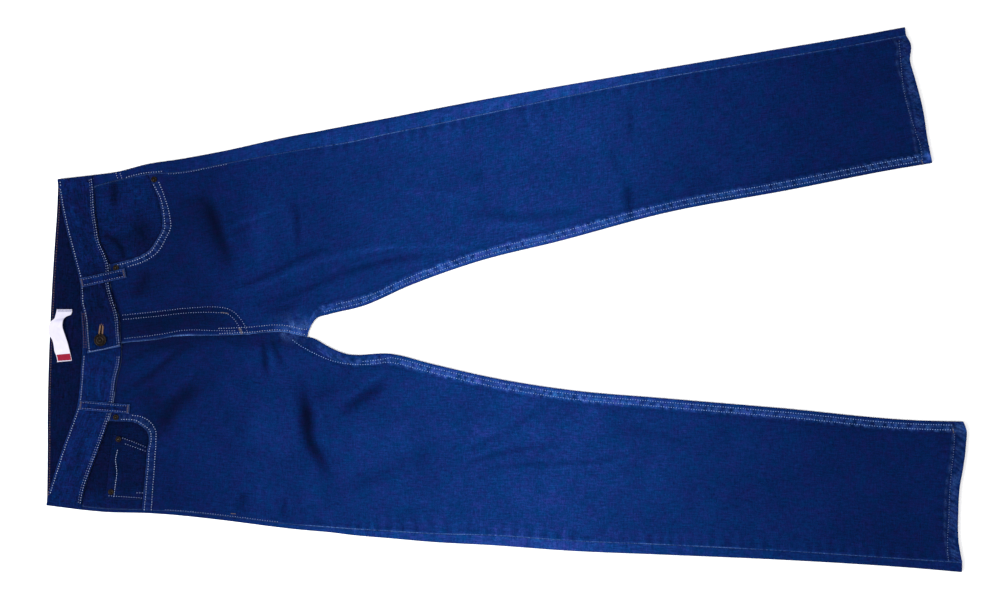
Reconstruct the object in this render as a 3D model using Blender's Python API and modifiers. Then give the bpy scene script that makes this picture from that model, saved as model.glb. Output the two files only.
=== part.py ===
"""Five-pocket straight-leg jeans laid flat on their back, front up.

+X runs from the waist to the hems, +Y towards the wearer's left leg, +Z up.
The tables are in millimetres and the objects in metres. The origin is the
middle of the outline, on the surface that the jeans lie on.

Each leg is a tube of denim pressed flat. Its back panel lies on the surface,
rolls round the outer edge and comes up on top as far as the outseam; the front
panel lies on it from the outseam to the inner edge. Every sheet is an open
grid of its outer face, given its thickness inwards.
"""

import bmesh
import bpy
import numpy as np

# ---- Driving dimensions, millimetres ----
WALL = 1.1  # one ply of denim
HEM_WALL = 2.4  # the turned-up hem
HEM_DEPTH = 14.5
BAND_WALL = 2.2  # the waistband's two plies
LOOP_WALL = 1.2
LABEL_WALL = 1.0
GAP = 0.35  # between two pieces at a seam
WAIST_GAP = 0.6
AIR = 0.35  # between two sheets lying on each other
SEAT_LIFT = 1.45  # the back pockets and loops lie under the seat
FOLD_HEIGHT = 4.8  # a leg's rolled edge
HEM_FOLD_HEIGHT = 5.9
CONTACT = 2 * WALL + AIR  # top of a front lying on a back
POCKET_RAISE = WALL + AIR + 0.05  # a front lying on a pocket facing
COIN_RAISE = 1.0 + AIR + 0.05
FLY_RAISE = WALL + AIR + 0.3
FLY_OVERLAP = 10.0
J_WIDTH = 33.0  # the fly's doubled strip
LOOP_WIDTH = 11.5
SHIFT_X, SHIFT_Y = -0.15, 0.0  # puts the outline's middle on the origin
MM = 0.001


def table(columns, rows):
    """A short table as a dictionary of named columns."""
    return dict(zip(columns.split(), np.array(rows, float).T))


# A leg's cross-sections from waist to hem: the outer edge, the outseam, and the
# front's inner boundary (the centre front down to the fork, then the inner
# edge). back_x is where the same section crosses the centre back.
SECTION = "edge_x edge_y seam_x seam_y inner_x inner_y back_x"
LEFT_LEG = table(SECTION, [
    (-509.6, 153.5, -507.5, 140.0, -474.8, -54.2, -521.0),  # waist
    (-479.5, 157.6, -477.6, 147.8, -438.9, -50.8, -451.0),  # yoke seam
    (-442.5, 167.0, -442.5, 154.7, -401.9, -44.4, -404.4),  # pocket
    (-401.9, 173.2, -400.0, 157.6, -357.6, -44.2, -362.5),
    (-346.5, 183.5, -346.5, 167.8, -318.2, -42.6, -320.7),  # fly end
    (-285.0, 197.2, -285.0, 179.1, -278.8, -39.8, -280.1),
    (-254.2, 203.5, -254.2, 184.7, -245.6, -45.9, -245.6),  # fork
    (-235.7, 206.7, -235.7, 187.5, -241.9, -34.8, -241.9),
    (-217.3, 210.4, -217.3, 190.4, -234.5, -23.5, -234.5),
    (-192.7, 215.1, -192.7, 194.5, -217.3, -17.8, -217.3),
    (-149.6, 223.1, -149.6, 204.0, -176.6, -7.8, -176.6),
    (-100.3, 232.8, -100.3, 213.8, -118.8, 17.5, -118.8),
    (-32.6, 245.8, -32.6, 227.9, -38.8, 45.9, -38.8),
    (65.9, 263.1, 65.9, 248.9, 65.9, 72.3, 65.9),  # knee
    (189.0, 284.2, 189.0, 273.2, 195.1, 106.7, 195.1),
    (336.7, 309.1, 336.7, 298.4, 349.0, 135.3, 349.0),
    (443.0, 327.0, 444.0, 316.9, 476.0, 160.2, 476.0),
    (490.6, 335.7, 491.8, 325.8, 524.3, 168.3, 524.3),  # hem
])
RIGHT_LEG = table(SECTION, [
    (-522.6, -258.9, -521.9, -255.2, -474.8, -54.2, -522.6),
    (-490.6, -261.7, -489.9, -258.0, -438.9, -50.8, -451.2),
    (-441.3, -262.9, -441.3, -259.1, -401.9, -44.4, -404.4),
    (-401.9, -265.8, -400.7, -261.3, -357.6, -44.2, -362.5),
    (-346.5, -271.9, -346.5, -267.0, -318.2, -42.6, -320.7),
    (-285.0, -279.8, -285.0, -274.5, -278.8, -39.8, -280.1),
    (-254.2, -283.3, -254.2, -277.7, -245.6, -45.9, -245.6),
    (-234.5, -285.1, -234.5, -279.1, -235.7, -48.1, -235.7),
    (-217.3, -286.6, -217.3, -280.4, -221.0, -56.7, -221.0),
    (-192.7, -289.7, -192.7, -282.3, -198.8, -66.2, -198.8),
    (-143.4, -294.0, -143.4, -285.3, -142.2, -66.6, -142.2),
    (-94.2, -298.3, -94.2, -288.2, -94.2, -78.4, -94.2),
    (-16.6, -302.6, -16.6, -290.4, -16.6, -96.1, -16.6),
    (78.2, -309.4, 78.2, -297.0, 78.2, -111.2, 78.2),
    (195.1, -314.3, 195.1, -302.0, 195.1, -121.4, 195.1),
    (336.7, -320.4, 336.7, -309.4, 336.7, -133.3, 336.7),
    (512.0, -331.4, 512.0, -321.0, 512.0, -148.8, 512.0),
    (560.7, -335.6, 561.1, -324.1, 562.0, -149.9, 562.0),
])
YOKE_ROW = 1.0
FORK_ROW = 6.0
HEM_ROW = 17.0
HEM_BAND_ROW = HEM_ROW - 0.30  # the hem's depth on the last 48 mm

# The hems are not quite straight: along-leg offset against the fraction across.
LEFT_HEM = table("across offset", [
    (0.0, 0.0), (0.06, 3.4), (0.2, -1.4), (0.33, 0.0), (0.6, 2.0), (0.8, 0.3), (1.0, 0.0),
])
RIGHT_HEM = table("across offset", [
    (0.0, 0.0), (0.15, -4.6), (0.35, -5.2), (0.55, -3.2), (0.68, 0.8), (0.84, 3.9), (0.94, 4.2), (1.0, 0.4),
])

# The seam between the front waistband and what hangs from it.
WAIST_SEAM = table("y x", [
    (153.5, -509.4), (140.0, -508.0), (106.0, -505.8), (90.7, -503.5), (68.6, -499.2),
    (55.5, -493.0), (42.7, -488.6), (19.3, -488.1), (-0.4, -483.2), (-18.8, -477.5),
    (-38.5, -475.8), (-61.9, -474.2), (-76.7, -475.2), (-97.6, -480.1), (-122.2, -483.4),
    (-140.3, -486.9), (-159.2, -493.0), (-183.8, -501.6), (-209.6, -511.5), (-234.3, -519.5),
    (-249.0, -522.2), (-258.9, -522.6),
])
BACK_WAIST_SEAM = table("y x", [
    (153.5, -509.4), (84.6, -513.0), (27.9, -517.0), (-17.1, -519.0), (-80.4, -521.5),
    (-172.7, -523.0), (-230.6, -522.8), (-258.9, -523.0),
])

# The waistband along its length, from the button end round the left side, the
# back and the right side to the end that lies under the button: its upper edge,
# the y where it meets the waist seam, and the height of its outer face.
BAND_FRONT_LEFT = table("top_x top_y low_y height", [
    (-515.2, -65.6, -57.5, 9.6),  # button end
    (-517.0, -44.7, -40.0, 9.6),
    (-519.4, -18.8, -16.0, 9.6),
    (-523.1, -4.1, -1.0, 9.4),
    (-524.4, 20.0, 21.0, 8.3),
    (-530.5, 45.0, 46.0, 7.7),
    (-541.0, 84.6, 84.0, 7.4),
    (-547.5, 114.0, 112.0, 7.2),
    (-551.2, 136.0, 138.0, 6.9),
])
BAND_SIDE_LEFT = (-552.7, 148.6, 153.5)
BAND_BACK = table("top_x top_y low_y", [
    (-552.2, 138.0, 142.0),
    (-553.4, 110.0, 112.0),
    (-556.4, 66.0, 66.0),
    (-559.4, 18.0, 18.0),
    (-561.5, -25.0, -25.0),
    (-563.7, -80.4, -80.4),
    (-564.9, -135.0, -135.0),
    (-565.0, -190.0, -190.0),
    (-565.6, -241.0, -246.0),
])
BAND_SIDE_RIGHT = (-566.3, -253.3, -258.9)
BAND_FRONT_RIGHT = table("top_x top_y low_y height", [
    (-563.9, -238.0, -244.0, 6.8),
    (-555.4, -212.1, -214.0, 7.1),
    (-546.7, -185.0, -186.0, 7.4),
    (-536.6, -156.7, -158.0, 7.4),
    (-528.5, -133.0, -134.0, 7.2),
    (-525.2, -110.0, -110.0, 7.0),
    (-523.4, -86.0, -87.0, 6.9),
    (-521.6, -60.0, -60.0, 6.9),
    (-522.4, -35.0, -34.0, 6.9),
    (-523.8, -14.0, -13.0, 6.9),
])

# The curved edges of the front pockets, from the waist seam to the outseam.
LEFT_OPENING = table("x y", [
    (-486.0, 43.8), (-469.4, 48.0), (-451.2, 54.0), (-439.8, 60.8), (-429.5, 75.5),
    (-423.7, 87.5), (-424.3, 106.0), (-428.5, 124.6), (-436.0, 143.7), (-440.5, 154.0),
])
RIGHT_OPENING = table("x y", [
    (-486.0, -149.3), (-468.4, -150.1), (-456.7, -151.2), (-447.7, -156.5), (-441.1, -163.8),
    (-439.5, -172.7), (-441.9, -185.0), (-443.2, -203.0), (-445.3, -224.2), (-448.2, -258.2),
])
FACING_MARGIN = 12.0  # how far a facing runs on under the front panel
COIN_POCKET = table("open_x open_y deep_x deep_y", [
    (-483.5, -166.0, -434.5, -183.5),
    (-486.0, -184.0, -435.0, -193.0),
    (-489.0, -205.0, -436.0, -207.0),
    (-491.5, -226.0, -437.5, -227.0),
    (-493.5, -245.5, -438.5, -247.0),
])

# The largest folds: ridges where the height is positive, troughs where negative.
FOLD = "start_x start_y end_x end_y half_width height"
LEFT_FOLDS = table(FOLD, [
    (-390.0, 118.0, -362.0, 32.0, 13.0, 1.7),
    (-368.0, 133.0, -341.0, 40.0, 8.0, -1.6),
    (-345.0, 122.0, -320.0, 46.0, 12.0, 1.3),
    (-300.0, -14.0, -100.0, 40.0, 9.0, 1.6),
    (-254.0, 2.0, -56.0, 62.0, 8.0, 1.1),
    (-330.0, 4.0, -217.0, 46.0, 8.0, 1.0),
    (20.0, 200.0, 160.0, 150.0, 16.0, 1.0),
])
RIGHT_FOLDS = table(FOLD, [
    (-306.0, -52.0, -300.0, -86.0, 6.0, 1.3),
    (-291.0, -48.0, -290.0, -90.0, 4.5, -1.2),
    (-283.0, -50.0, -282.0, -88.0, 4.0, 1.3),
    (-246.0, -122.0, -246.0, -216.0, 7.0, -1.3),
    (-232.0, -118.0, -230.0, -210.0, 9.0, 1.3),
    (-405.0, -124.0, -360.0, -176.0, 12.0, 1.4),
    (-52.0, -188.0, 125.0, -217.0, 13.0, 1.2),
    (-190.0, -150.0, -60.0, -190.0, 12.0, 1.0),
])

# Back pockets, hidden under the seat: width, length to the point, length at the sides.
PATCH_WIDTH, PATCH_LENGTH, PATCH_SIDE = 142.0, 155.0, 128.0
PATCHES = table("x y angle", [(-446.0, 63.0, -6.0), (-446.0, -148.0, 3.0)])
PATCH_NAMES = ("back_pocket_left", "back_pocket_right")

BUTTON_X, BUTTON_Y = -499.2, -49.6
BUTTON_RADIUS, BUTTON_SHANK = 8.2, 2.6
BUTTONHOLE_LENGTH = 18.0
RIVET_RADIUS = 3.8
RIVETS = {
    "rivet_left_side": (-433.4, 147.9, "left"),
    "rivet_left_waist": (-480.3, 39.2, "left"),
    "rivet_right_waist": (-480.4, -144.6, "right"),
    "rivet_coin_inner": (-477.2, -171.6, "coin"),
    "rivet_coin_outer": (-486.6, -236.6, "coin"),
}

DENIM = (0.008, 0.032, 0.155)
DARK_DENIM = (0.006, 0.016, 0.075)


# ---- Curves and small helpers ----
def smooth(t):
    t = np.clip(t, 0.0, 1.0)
    return t * t * (3.0 - 2.0 * t)


def hermite(values, knots, at):
    """A smooth curve through the rows of values at the knots, read at the given knot values."""
    values = np.asarray(values, float)
    values = values.reshape(len(values), -1)
    step = np.diff(knots)
    slope = np.diff(values, axis=0) / step[:, None]
    tangent = np.empty_like(values)
    tangent[0], tangent[-1] = slope[0], slope[-1]
    before, after = step[:-1, None], step[1:, None]
    tangent[1:-1] = (slope[:-1] * after + slope[1:] * before) / (before + after)
    at = np.atleast_1d(np.asarray(at, float))
    i = np.clip(np.searchsorted(knots, at, side="right") - 1, 0, len(step) - 1)
    h = step[i][:, None]
    f = ((at - knots[i]) / step[i])[:, None]
    return (
        (2 * f**3 - 3 * f**2 + 1) * values[i]
        + (f**3 - 2 * f**2 + f) * h * tangent[i]
        + (-2 * f**3 + 3 * f**2) * values[i + 1]
        + (f**3 - f**2) * h * tangent[i + 1]
    )


def curve_points(points, count):
    """That many points along the smooth curve through a few."""
    points = np.asarray(points, float)
    knots = np.concatenate([[0.0], np.cumsum(np.linalg.norm(np.diff(points, axis=0), axis=1))])
    return hermite(points, knots, np.linspace(0.0, knots[-1], count))


def read(tab, key, value, at):
    """One column of a table against another, smoothly."""
    order = np.argsort(tab[key])
    at = np.clip(np.asarray(at, float), tab[key].min(), tab[key].max())
    return hermite(tab[value][order], tab[key][order], at.ravel()).reshape(at.shape)


def waist_x(y):
    return read(WAIST_SEAM, "y", "x", y)


def section(leg, t):
    """The leg's section at a row number that may lie between two rows."""
    columns = np.stack([leg[name] for name in SECTION.split()], axis=1)
    reach = np.linalg.norm(np.diff(columns[:, [0, 1, 4, 5]], axis=0), axis=1)
    knots = np.concatenate([[0.0], np.cumsum(reach)])
    at = np.interp(t, np.arange(len(knots)), knots)
    found = hermite(columns, knots, at)[0]
    fork = int(FORK_ROW)
    if t <= FORK_ROW:  # both legs share the centre line down to the fork
        shared = np.stack([LEFT_LEG["inner_x"], LEFT_LEG["inner_y"], LEFT_LEG["back_x"]], axis=1)[: fork + 1]
        found[4:6] = hermite(shared[:, :2], np.arange(fork + 1.0), t)[0]
    else:
        found[4:6] = hermite(columns[fork:, 4:6], knots[fork:], at)[0]
    return found


def distance_to_line(points, x, y):
    """Least distance in the plane from each (x, y) to an open line of points."""
    best = np.full(np.shape(x), 1e9)
    for a, b in zip(points[:-1], points[1:]):
        d = b - a
        f = np.clip(((x - a[0]) * d[0] + (y - a[1]) * d[1]) / (d @ d), 0.0, 1.0)
        best = np.minimum(best, np.hypot(x - a[0] - f * d[0], y - a[1] - f * d[1]))
    return best


def inside(polygon, x, y):
    odd = np.zeros(np.shape(x), bool)
    for a, b in zip(polygon, np.roll(polygon, -1, axis=0)):
        if a[1] != b[1]:
            cross = (a[1] > y) != (b[1] > y)
            odd ^= cross & (x < (b[0] - a[0]) * (y - a[1]) / (b[1] - a[1]) + a[0])
    return odd


def opening_line(side):
    tab = LEFT_OPENING if side == "left" else RIGHT_OPENING
    return curve_points(np.stack([tab["x"], tab["y"]], axis=1), 22)


OPENING = {side: opening_line(side) for side in ("left", "right")}


def opening_polygon(side):
    """The pocket opening, widened past the waist seam and the outer edge."""
    line = OPENING[side]
    outer_y = 185.0 if side == "left" else -300.0
    return np.concatenate([[[-540.0, line[0, 1]]], line, [[line[-1, 0], outer_y], [-540.0, outer_y]]])


def from_opening(side, x, y):
    """Distance out of the pocket opening, 0 inside it."""
    gap = distance_to_line(OPENING[side], x, y)
    return np.where(inside(opening_polygon(side), x, y), 0.0, gap)


# ---- Heights of the layers ----
def lift(x):
    """How far the seat is held off the surface by what is sewn on its underside."""
    return SEAT_LIFT * (1.0 - smooth((np.asarray(x) + 285.0) / 75.0))


def folds(tab, x, y):
    total = np.zeros(np.shape(x))
    for k in range(len(tab["height"])):
        a = np.array([tab["start_x"][k], tab["start_y"][k]])
        b = np.array([tab["end_x"][k], tab["end_y"][k]])
        d = b - a
        along = ((x - a[0]) * d[0] + (y - a[1]) * d[1]) / (d @ d)
        off = ((x - a[0]) * -d[1] + (y - a[1]) * d[0]) / np.linalg.norm(d)
        taper = smooth((along + 0.25) / 0.45) * smooth((1.25 - along) / 0.45)
        total += tab["height"][k] * taper * np.exp(-((off / tab["half_width"][k]) ** 2))
    return total


def fly_edge_y(x):
    return read({"x": LEFT_LEG["inner_x"][:7], "y": LEFT_LEG["inner_y"][:7]}, "x", "y", x)


def support(side, x, y, from_seam, from_inner, crown, inner_edge, fold_height):
    """Top of the sheet that lies straight on the back panel: a pocket facing, or the front where nothing lies under it."""
    rolled = fold_height - CONTACT
    outer = (rolled - 0.1) * np.exp(-((from_seam / 17.0) ** 2))
    inner = inner_edge * (rolled - 0.1) * np.exp(-((from_inner / 12.0) ** 2))
    waist = 1.3 * np.exp(-((np.maximum(x - waist_x(y), 0.0) / 30.0) ** 2))
    tab = LEFT_FOLDS if side == "left" else RIGHT_FOLDS
    soft = crown + folds(tab, x, y)
    soft = 0.5 * (soft + np.sqrt(soft * soft + 0.15))
    joined = (outer**3 + inner**3 + waist**3 + soft**3) ** (1.0 / 3.0)
    return lift(x) + CONTACT + joined


def pocket_raise(side, x, y):
    """How far the front panel is held up by the facing and the coin pocket under its edge."""
    raised = POCKET_RAISE * (1.0 - smooth((from_opening(side, x, y) - FACING_MARGIN - 3.0) / 28.0))
    if side == "right":
        deep = np.stack([COIN_POCKET["deep_x"], COIN_POCKET["deep_y"]], axis=1)
        raised = raised + COIN_RAISE * (1.0 - smooth((distance_to_line(deep, x, y) - 15.0) / 26.0))
    return raised


def fly_raise(x, y):
    """The left front's doubled strip over the right front's edge."""
    across = 1.0 - smooth((y - fly_edge_y(x) - J_WIDTH) / 16.0)
    along = 1.0 - smooth((x + 313.0) / 24.0)
    return FLY_RAISE * across * along


def crown_of(t):
    """How much the front stands off the back between its edges, row by row."""
    return np.interp(t, [0, 1, 4, 8, 11, 13, 15, 17], [0.0, 0.4, 1.5, 1.9, 1.7, 1.2, 1.0, 0.4])


def rise_to_leg(t):
    """0 where the inner boundary is a seam on top, 1 where it is the leg's inner edge."""
    return float(smooth((t - FORK_ROW) / 2.0))


def fold_height(t):
    return FOLD_HEIGHT + (HEM_FOLD_HEIGHT - FOLD_HEIGHT) * float(smooth((t - HEM_ROW + 1.0) / 0.6))


def hem_raise(t):
    """The turned-up hems lie on each other."""
    return (2 * HEM_WALL + AIR + 0.1 - CONTACT) * float(smooth((t - HEM_ROW + 1.3) / 0.9))


def wall_at(t):
    """Thickness as a share of the hem's."""
    return 1.0 if t > HEM_BAND_ROW else WALL / HEM_WALL


def rim_gap(t):
    """Half the gap between the two rims at the inner edge, whose inner corners lean towards each other."""
    return GAP / 2 + 0.3 * HEM_WALL * wall_at(t)


def front_top(side, x, y, from_seam=200.0, from_inner=200.0, crown=0.0, inner_edge=0.0, fold=FOLD_HEIGHT):
    top = support(side, x, y, from_seam, from_inner, crown, inner_edge, fold) + pocket_raise(side, x, y)
    return top + fly_raise(x, y) if side == "left" else top


# ---- Sheets ----
def row_shift(side, t, across, x, y):
    """Moves a section's points along the leg at the waist seam and the hem, whose lines are not straight."""
    at_waist = 1.0 - smooth(np.full(np.shape(x), t / 1.5))
    moved = at_waist * (waist_x(y) - x)
    hem = LEFT_HEM if side == "left" else RIGHT_HEM
    return x + moved + float(smooth((t - HEM_ROW + 1.0) / 0.7)) * read(hem, "across", "offset", across)


FRONT_ROWS = [0.0, 0.5, 1.0, 1.5, 2.0, 2.5, 3.0, 3.5, 4.0, 4.5, 5.0, 5.5, 6.0, 6.5, 7.0, 7.6, 8.3, 9.0, 9.8, 10.6,
              11.5, 12.4, 13.3, 14.2, 15.1, 16.0, 16.66, 16.72, 17.0]
FRONT_COLUMNS = [0.0, 0.05, 0.13, 0.25, 0.38, 0.52, 0.66, 0.8, 0.92, 1.0]
CURL = np.radians([0.0, 30.0, 60.0, 90.0])


def front_row(side, t, columns):
    """One row of the front panel's outer face, from the outseam to its inner boundary."""
    leg = LEFT_LEG if side == "left" else RIGHT_LEG
    _, _, seam_x, seam_y, inner_x, inner_y, _ = section(leg, t)
    seam, inner = np.array([seam_x, seam_y]), np.array([inner_x, inner_y])
    leg_share = rise_to_leg(t)
    across = (inner - seam) / np.linalg.norm(inner - seam)
    start = seam + across * GAP / 2
    end = inner - across * GAP / 2 * (1.0 - leg_share)
    if side == "right":
        end = end + across * (FLY_OVERLAP + GAP) * (1.0 - float(smooth((t - 3.1) / 0.8)))
    reach = np.linalg.norm(end - start)
    radius = fold_height(t) / 2
    flat = np.asarray(columns) * (reach - radius)
    along = np.concatenate([flat, reach - radius * (1.0 - np.sin(CURL[1:]))])
    fraction = along / reach
    x, y = start[0] + across[0] * along, start[1] + across[1] * along
    x = row_shift(side, t, fraction, x, y)
    if t == 0.0:
        x = waist_x(y) + WAIST_GAP
    from_inner = np.maximum(reach - radius - along, 0.0)
    crown = crown_of(t) * np.sin(np.pi * np.clip(fraction, 0.0, 1.0)) ** 2
    z = front_top(side, x, y, along, from_inner, crown, leg_share, fold_height(t)) + hem_raise(t) * (
        1.0 - np.exp(-((along / 14.0) ** 2))
    ) * (1.0 - leg_share * np.exp(-((from_inner / 10.0) ** 2)))
    base, top = lift(x[-1]), z[len(flat) - 1]
    middle = (base + top) / 2 + rim_gap(t)
    drop = np.concatenate([np.zeros(len(flat)), (top - middle) * (1.0 - np.cos(CURL[1:]))])
    z = np.where(np.arange(len(z)) < len(flat), z, z * (1 - leg_share) + leg_share * top) - leg_share * drop
    return np.stack([x, y, z], axis=1)


def lip_height(side, t, x, y):
    """Top of the back panel's lip at the outseam."""
    pocket = pocket_raise(side, x, y) * smooth((x + 452.0) / 22.0)
    return lift(x) + fold_height(t) + 0.85 * pocket


ROLL = np.radians([0.0, 45.0, 90.0, 135.0, 180.0])


def back_row(side, t, bottoms):
    """One row of the back panel's or yoke's outer face: lip, roll, underside, inner boundary."""
    leg = LEFT_LEG if side == "left" else RIGHT_LEG
    edge_x, edge_y, seam_x, seam_y, inner_x, inner_y, back_x = section(leg, t)
    leg_share = rise_to_leg(t)
    edge, seam = np.array([edge_x, edge_y]), np.array([seam_x, seam_y])
    across = (seam - edge) / np.linalg.norm(seam - edge)
    seam = seam - across * GAP / 2
    radius = min(fold_height(t) / 2, 0.8 * np.linalg.norm(seam - edge))
    seam_line_y = seam_y
    low = float(lift(edge_x))
    high = float(lip_height(side, t, seam[0], seam[1]))
    middle = (low + high) / 2
    lip = np.linspace(seam, edge + across * radius, 3)[:-1]
    roll = edge + across * radius * (1.0 - np.sin(ROLL))[:, None]
    roll_z = middle + (high - middle) * np.cos(ROLL)
    if t <= FORK_ROW:
        centre_y = LEFT_LEG["inner_y"][6] + (t - FORK_ROW) * -0.6
        toward = 1.0 if side == "left" else -1.0
        inner = np.array([back_x, centre_y + toward * GAP / 2])
    else:
        inner = np.array([inner_x, inner_y])
    path = inner - roll[-1]
    reach = np.linalg.norm(path)
    path = path / reach
    end_radius = fold_height(t) / 2
    flat = np.asarray(bottoms) * (reach - end_radius)
    curl = reach - end_radius * (1.0 - np.sin(CURL[1:]))
    under = roll[-1] + np.concatenate([flat, curl])[:, None] * path
    under_z = lift(under[:, 0])
    top_middle = (low + lift(inner[0]) * 0 + fold_height(t)) / 2 - rim_gap(t)
    under_z[-3:] += leg_share * (top_middle - lift(inner[0])) * (1.0 - np.cos(CURL[1:]))
    x = np.concatenate([lip[:, 0], roll[:, 0], under[:, 0]])
    y = np.concatenate([lip[:, 1], roll[:, 1], under[:, 1]])
    z = np.concatenate([np.full(2, high), roll_z, under_z])
    hem = LEFT_HEM if side == "left" else RIGHT_HEM
    share = np.clip((y - seam_line_y) / (inner[1] - seam_line_y), 0.0, 1.0)
    x = x + float(smooth((t - HEM_ROW + 1.0) / 0.7)) * read(hem, "across", "offset", share)
    return np.stack([x, y, z], axis=1)


def grid_object(name, rows, wall, colour, roughness=0.85, shares=None, metallic=0.0, flip=False):
    """An open grid of points as a surface, given its thickness on the inner side."""
    mesh = bpy.data.meshes.new(name)
    grid = bmesh.new()
    points = [[grid.verts.new(((x + SHIFT_X) * MM, (y + SHIFT_Y) * MM, z * MM)) for x, y, z in row] for row in rows]
    for upper, lower in zip(points[:-1], points[1:]):
        for k in range(len(upper) - 1):
            corners = (upper[k], upper[k + 1], lower[k + 1], lower[k])
            grid.faces.new(corners[::-1] if flip else corners)
    grid.to_mesh(mesh)
    grid.free()
    mesh.shade_smooth()
    obj = bpy.data.objects.new(name, mesh)
    parts.objects.link(obj)
    thick = obj.modifiers.new("thickness", "SOLIDIFY")
    thick.thickness = wall * MM
    thick.offset = -1.0
    if shares is not None:
        group = obj.vertex_groups.new(name="thickness")
        width = len(rows[0])
        for r, share in enumerate(shares):
            group.add(list(range(r * width, (r + 1) * width)), float(share), "REPLACE")
        thick.vertex_group = "thickness"
    dress(obj, colour, roughness, metallic)
    return obj


def dress(obj, colour, roughness, metallic=0.0):
    material = bpy.data.materials.new(obj.name)
    material.use_nodes = True
    shader = material.node_tree.nodes["Principled BSDF"]
    shader.inputs["Base Color"].default_value = (*colour, 1.0)
    shader.inputs["Roughness"].default_value = roughness
    shader.inputs["Metallic"].default_value = metallic
    obj.data.materials.append(material)


def outline_cutter(name, outline, low, high):
    """A tall prism with this outline, from a filled curve."""
    curve = bpy.data.curves.new(name, "CURVE")
    curve.dimensions = "2D"
    curve.fill_mode = "BOTH"
    curve.extrude = (high - low) / 2 * MM
    spline = curve.splines.new("POLY")
    spline.points.add(len(outline) - 1)
    for point, (x, y) in zip(spline.points, outline):
        point.co = ((x + SHIFT_X) * MM, (y + SHIFT_Y) * MM, 0.0, 1.0)
    spline.use_cyclic_u = True
    drawn = bpy.data.objects.new(name + "_outline", curve)
    cutters.objects.link(drawn)
    drawn.location.z = (low + high) / 2 * MM
    bpy.context.view_layer.update()
    solid = bpy.data.meshes.new_from_object(drawn.evaluated_get(bpy.context.evaluated_depsgraph_get()))
    weld = bmesh.new()
    weld.from_mesh(solid)
    bmesh.ops.remove_doubles(weld, verts=weld.verts, dist=1e-6)
    bmesh.ops.recalc_face_normals(weld, faces=weld.faces)
    weld.to_mesh(solid)
    weld.free()
    cutter = bpy.data.objects.new(name, solid)
    cutter.matrix_world = drawn.matrix_world.copy()
    cutters.objects.link(cutter)
    bpy.data.objects.remove(drawn)
    cutter.hide_render = True
    cutter.display_type = "WIRE"
    return cutter


def cut(obj, cutter):
    boolean = obj.modifiers.new("cut_" + cutter.name, "BOOLEAN")
    boolean.operation = "DIFFERENCE"
    boolean.solver = "EXACT"
    boolean.object = cutter


def turned(name, profile, x, y, z, colour, roughness, metallic, steps=16):
    """A round piece from its half profile (radius, height), given from the top of its axis down its outer side to the bottom of its axis."""
    mesh = bpy.data.meshes.new(name)
    line = bmesh.new()
    points = [line.verts.new((r * MM, 0.0, h * MM)) for r, h in profile]
    for a, b in zip(points[:-1], points[1:]):
        line.edges.new((a, b))
    line.to_mesh(mesh)
    line.free()
    obj = bpy.data.objects.new(name, mesh)
    parts.objects.link(obj)
    obj.location = ((x + SHIFT_X) * MM, (y + SHIFT_Y) * MM, z * MM)
    screw = obj.modifiers.new("turn", "SCREW")
    screw.steps = steps
    screw.render_steps = steps
    screw.use_merge_vertices = True
    screw.merge_threshold = 1e-5
    screw.use_smooth_shade = True
    dress(obj, colour, roughness, metallic)
    return obj


# ---- The pieces ----
for old in list(bpy.data.objects):
    bpy.data.objects.remove(old, do_unlink=True)
parts = bpy.data.collections.new("jeans")
cutters = bpy.data.collections.new("cutters")
bpy.context.scene.collection.children.link(parts)
bpy.context.scene.collection.children.link(cutters)
cutters.hide_render = True

BACK_ROWS = [t for t in FRONT_ROWS if t > YOKE_ROW]
BACK_COLUMNS = [0.08, 0.3, 0.6, 0.9, 1.0]

for side in ("left", "right"):
    turned_over = side == "right"
    front = grid_object(
        "front_panel_" + side,
        [front_row(side, t, FRONT_COLUMNS) for t in FRONT_ROWS],
        HEM_WALL, DENIM, shares=[wall_at(t) for t in FRONT_ROWS], flip=turned_over,
    )
    cut(front, outline_cutter("pocket_cut_" + side, opening_polygon(side), -10.0, 30.0))
    grid_object(
        "back_panel_" + side,
        [back_row(side, t, BACK_COLUMNS) for t in [YOKE_ROW + 0.006] + BACK_ROWS],
        HEM_WALL, DENIM, shares=[wall_at(t) for t in [YOKE_ROW] + BACK_ROWS], flip=not turned_over,
    )
    yoke = [back_row(side, t, BACK_COLUMNS) for t in (0.0, 0.35, 0.7, YOKE_ROW - 0.006)]
    count = len(yoke[0])
    for row in yoke[:1]:
        lip_part = np.arange(count) < 5
        seam_x = np.where(lip_part, waist_x(row[:, 1]), read(BACK_WAIST_SEAM, "y", "x", row[:, 1]))
        row[:, 0] = seam_x + WAIST_GAP + 0.4
    grid_object("yoke_" + side, yoke, WALL, DARK_DENIM, flip=not turned_over)


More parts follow.
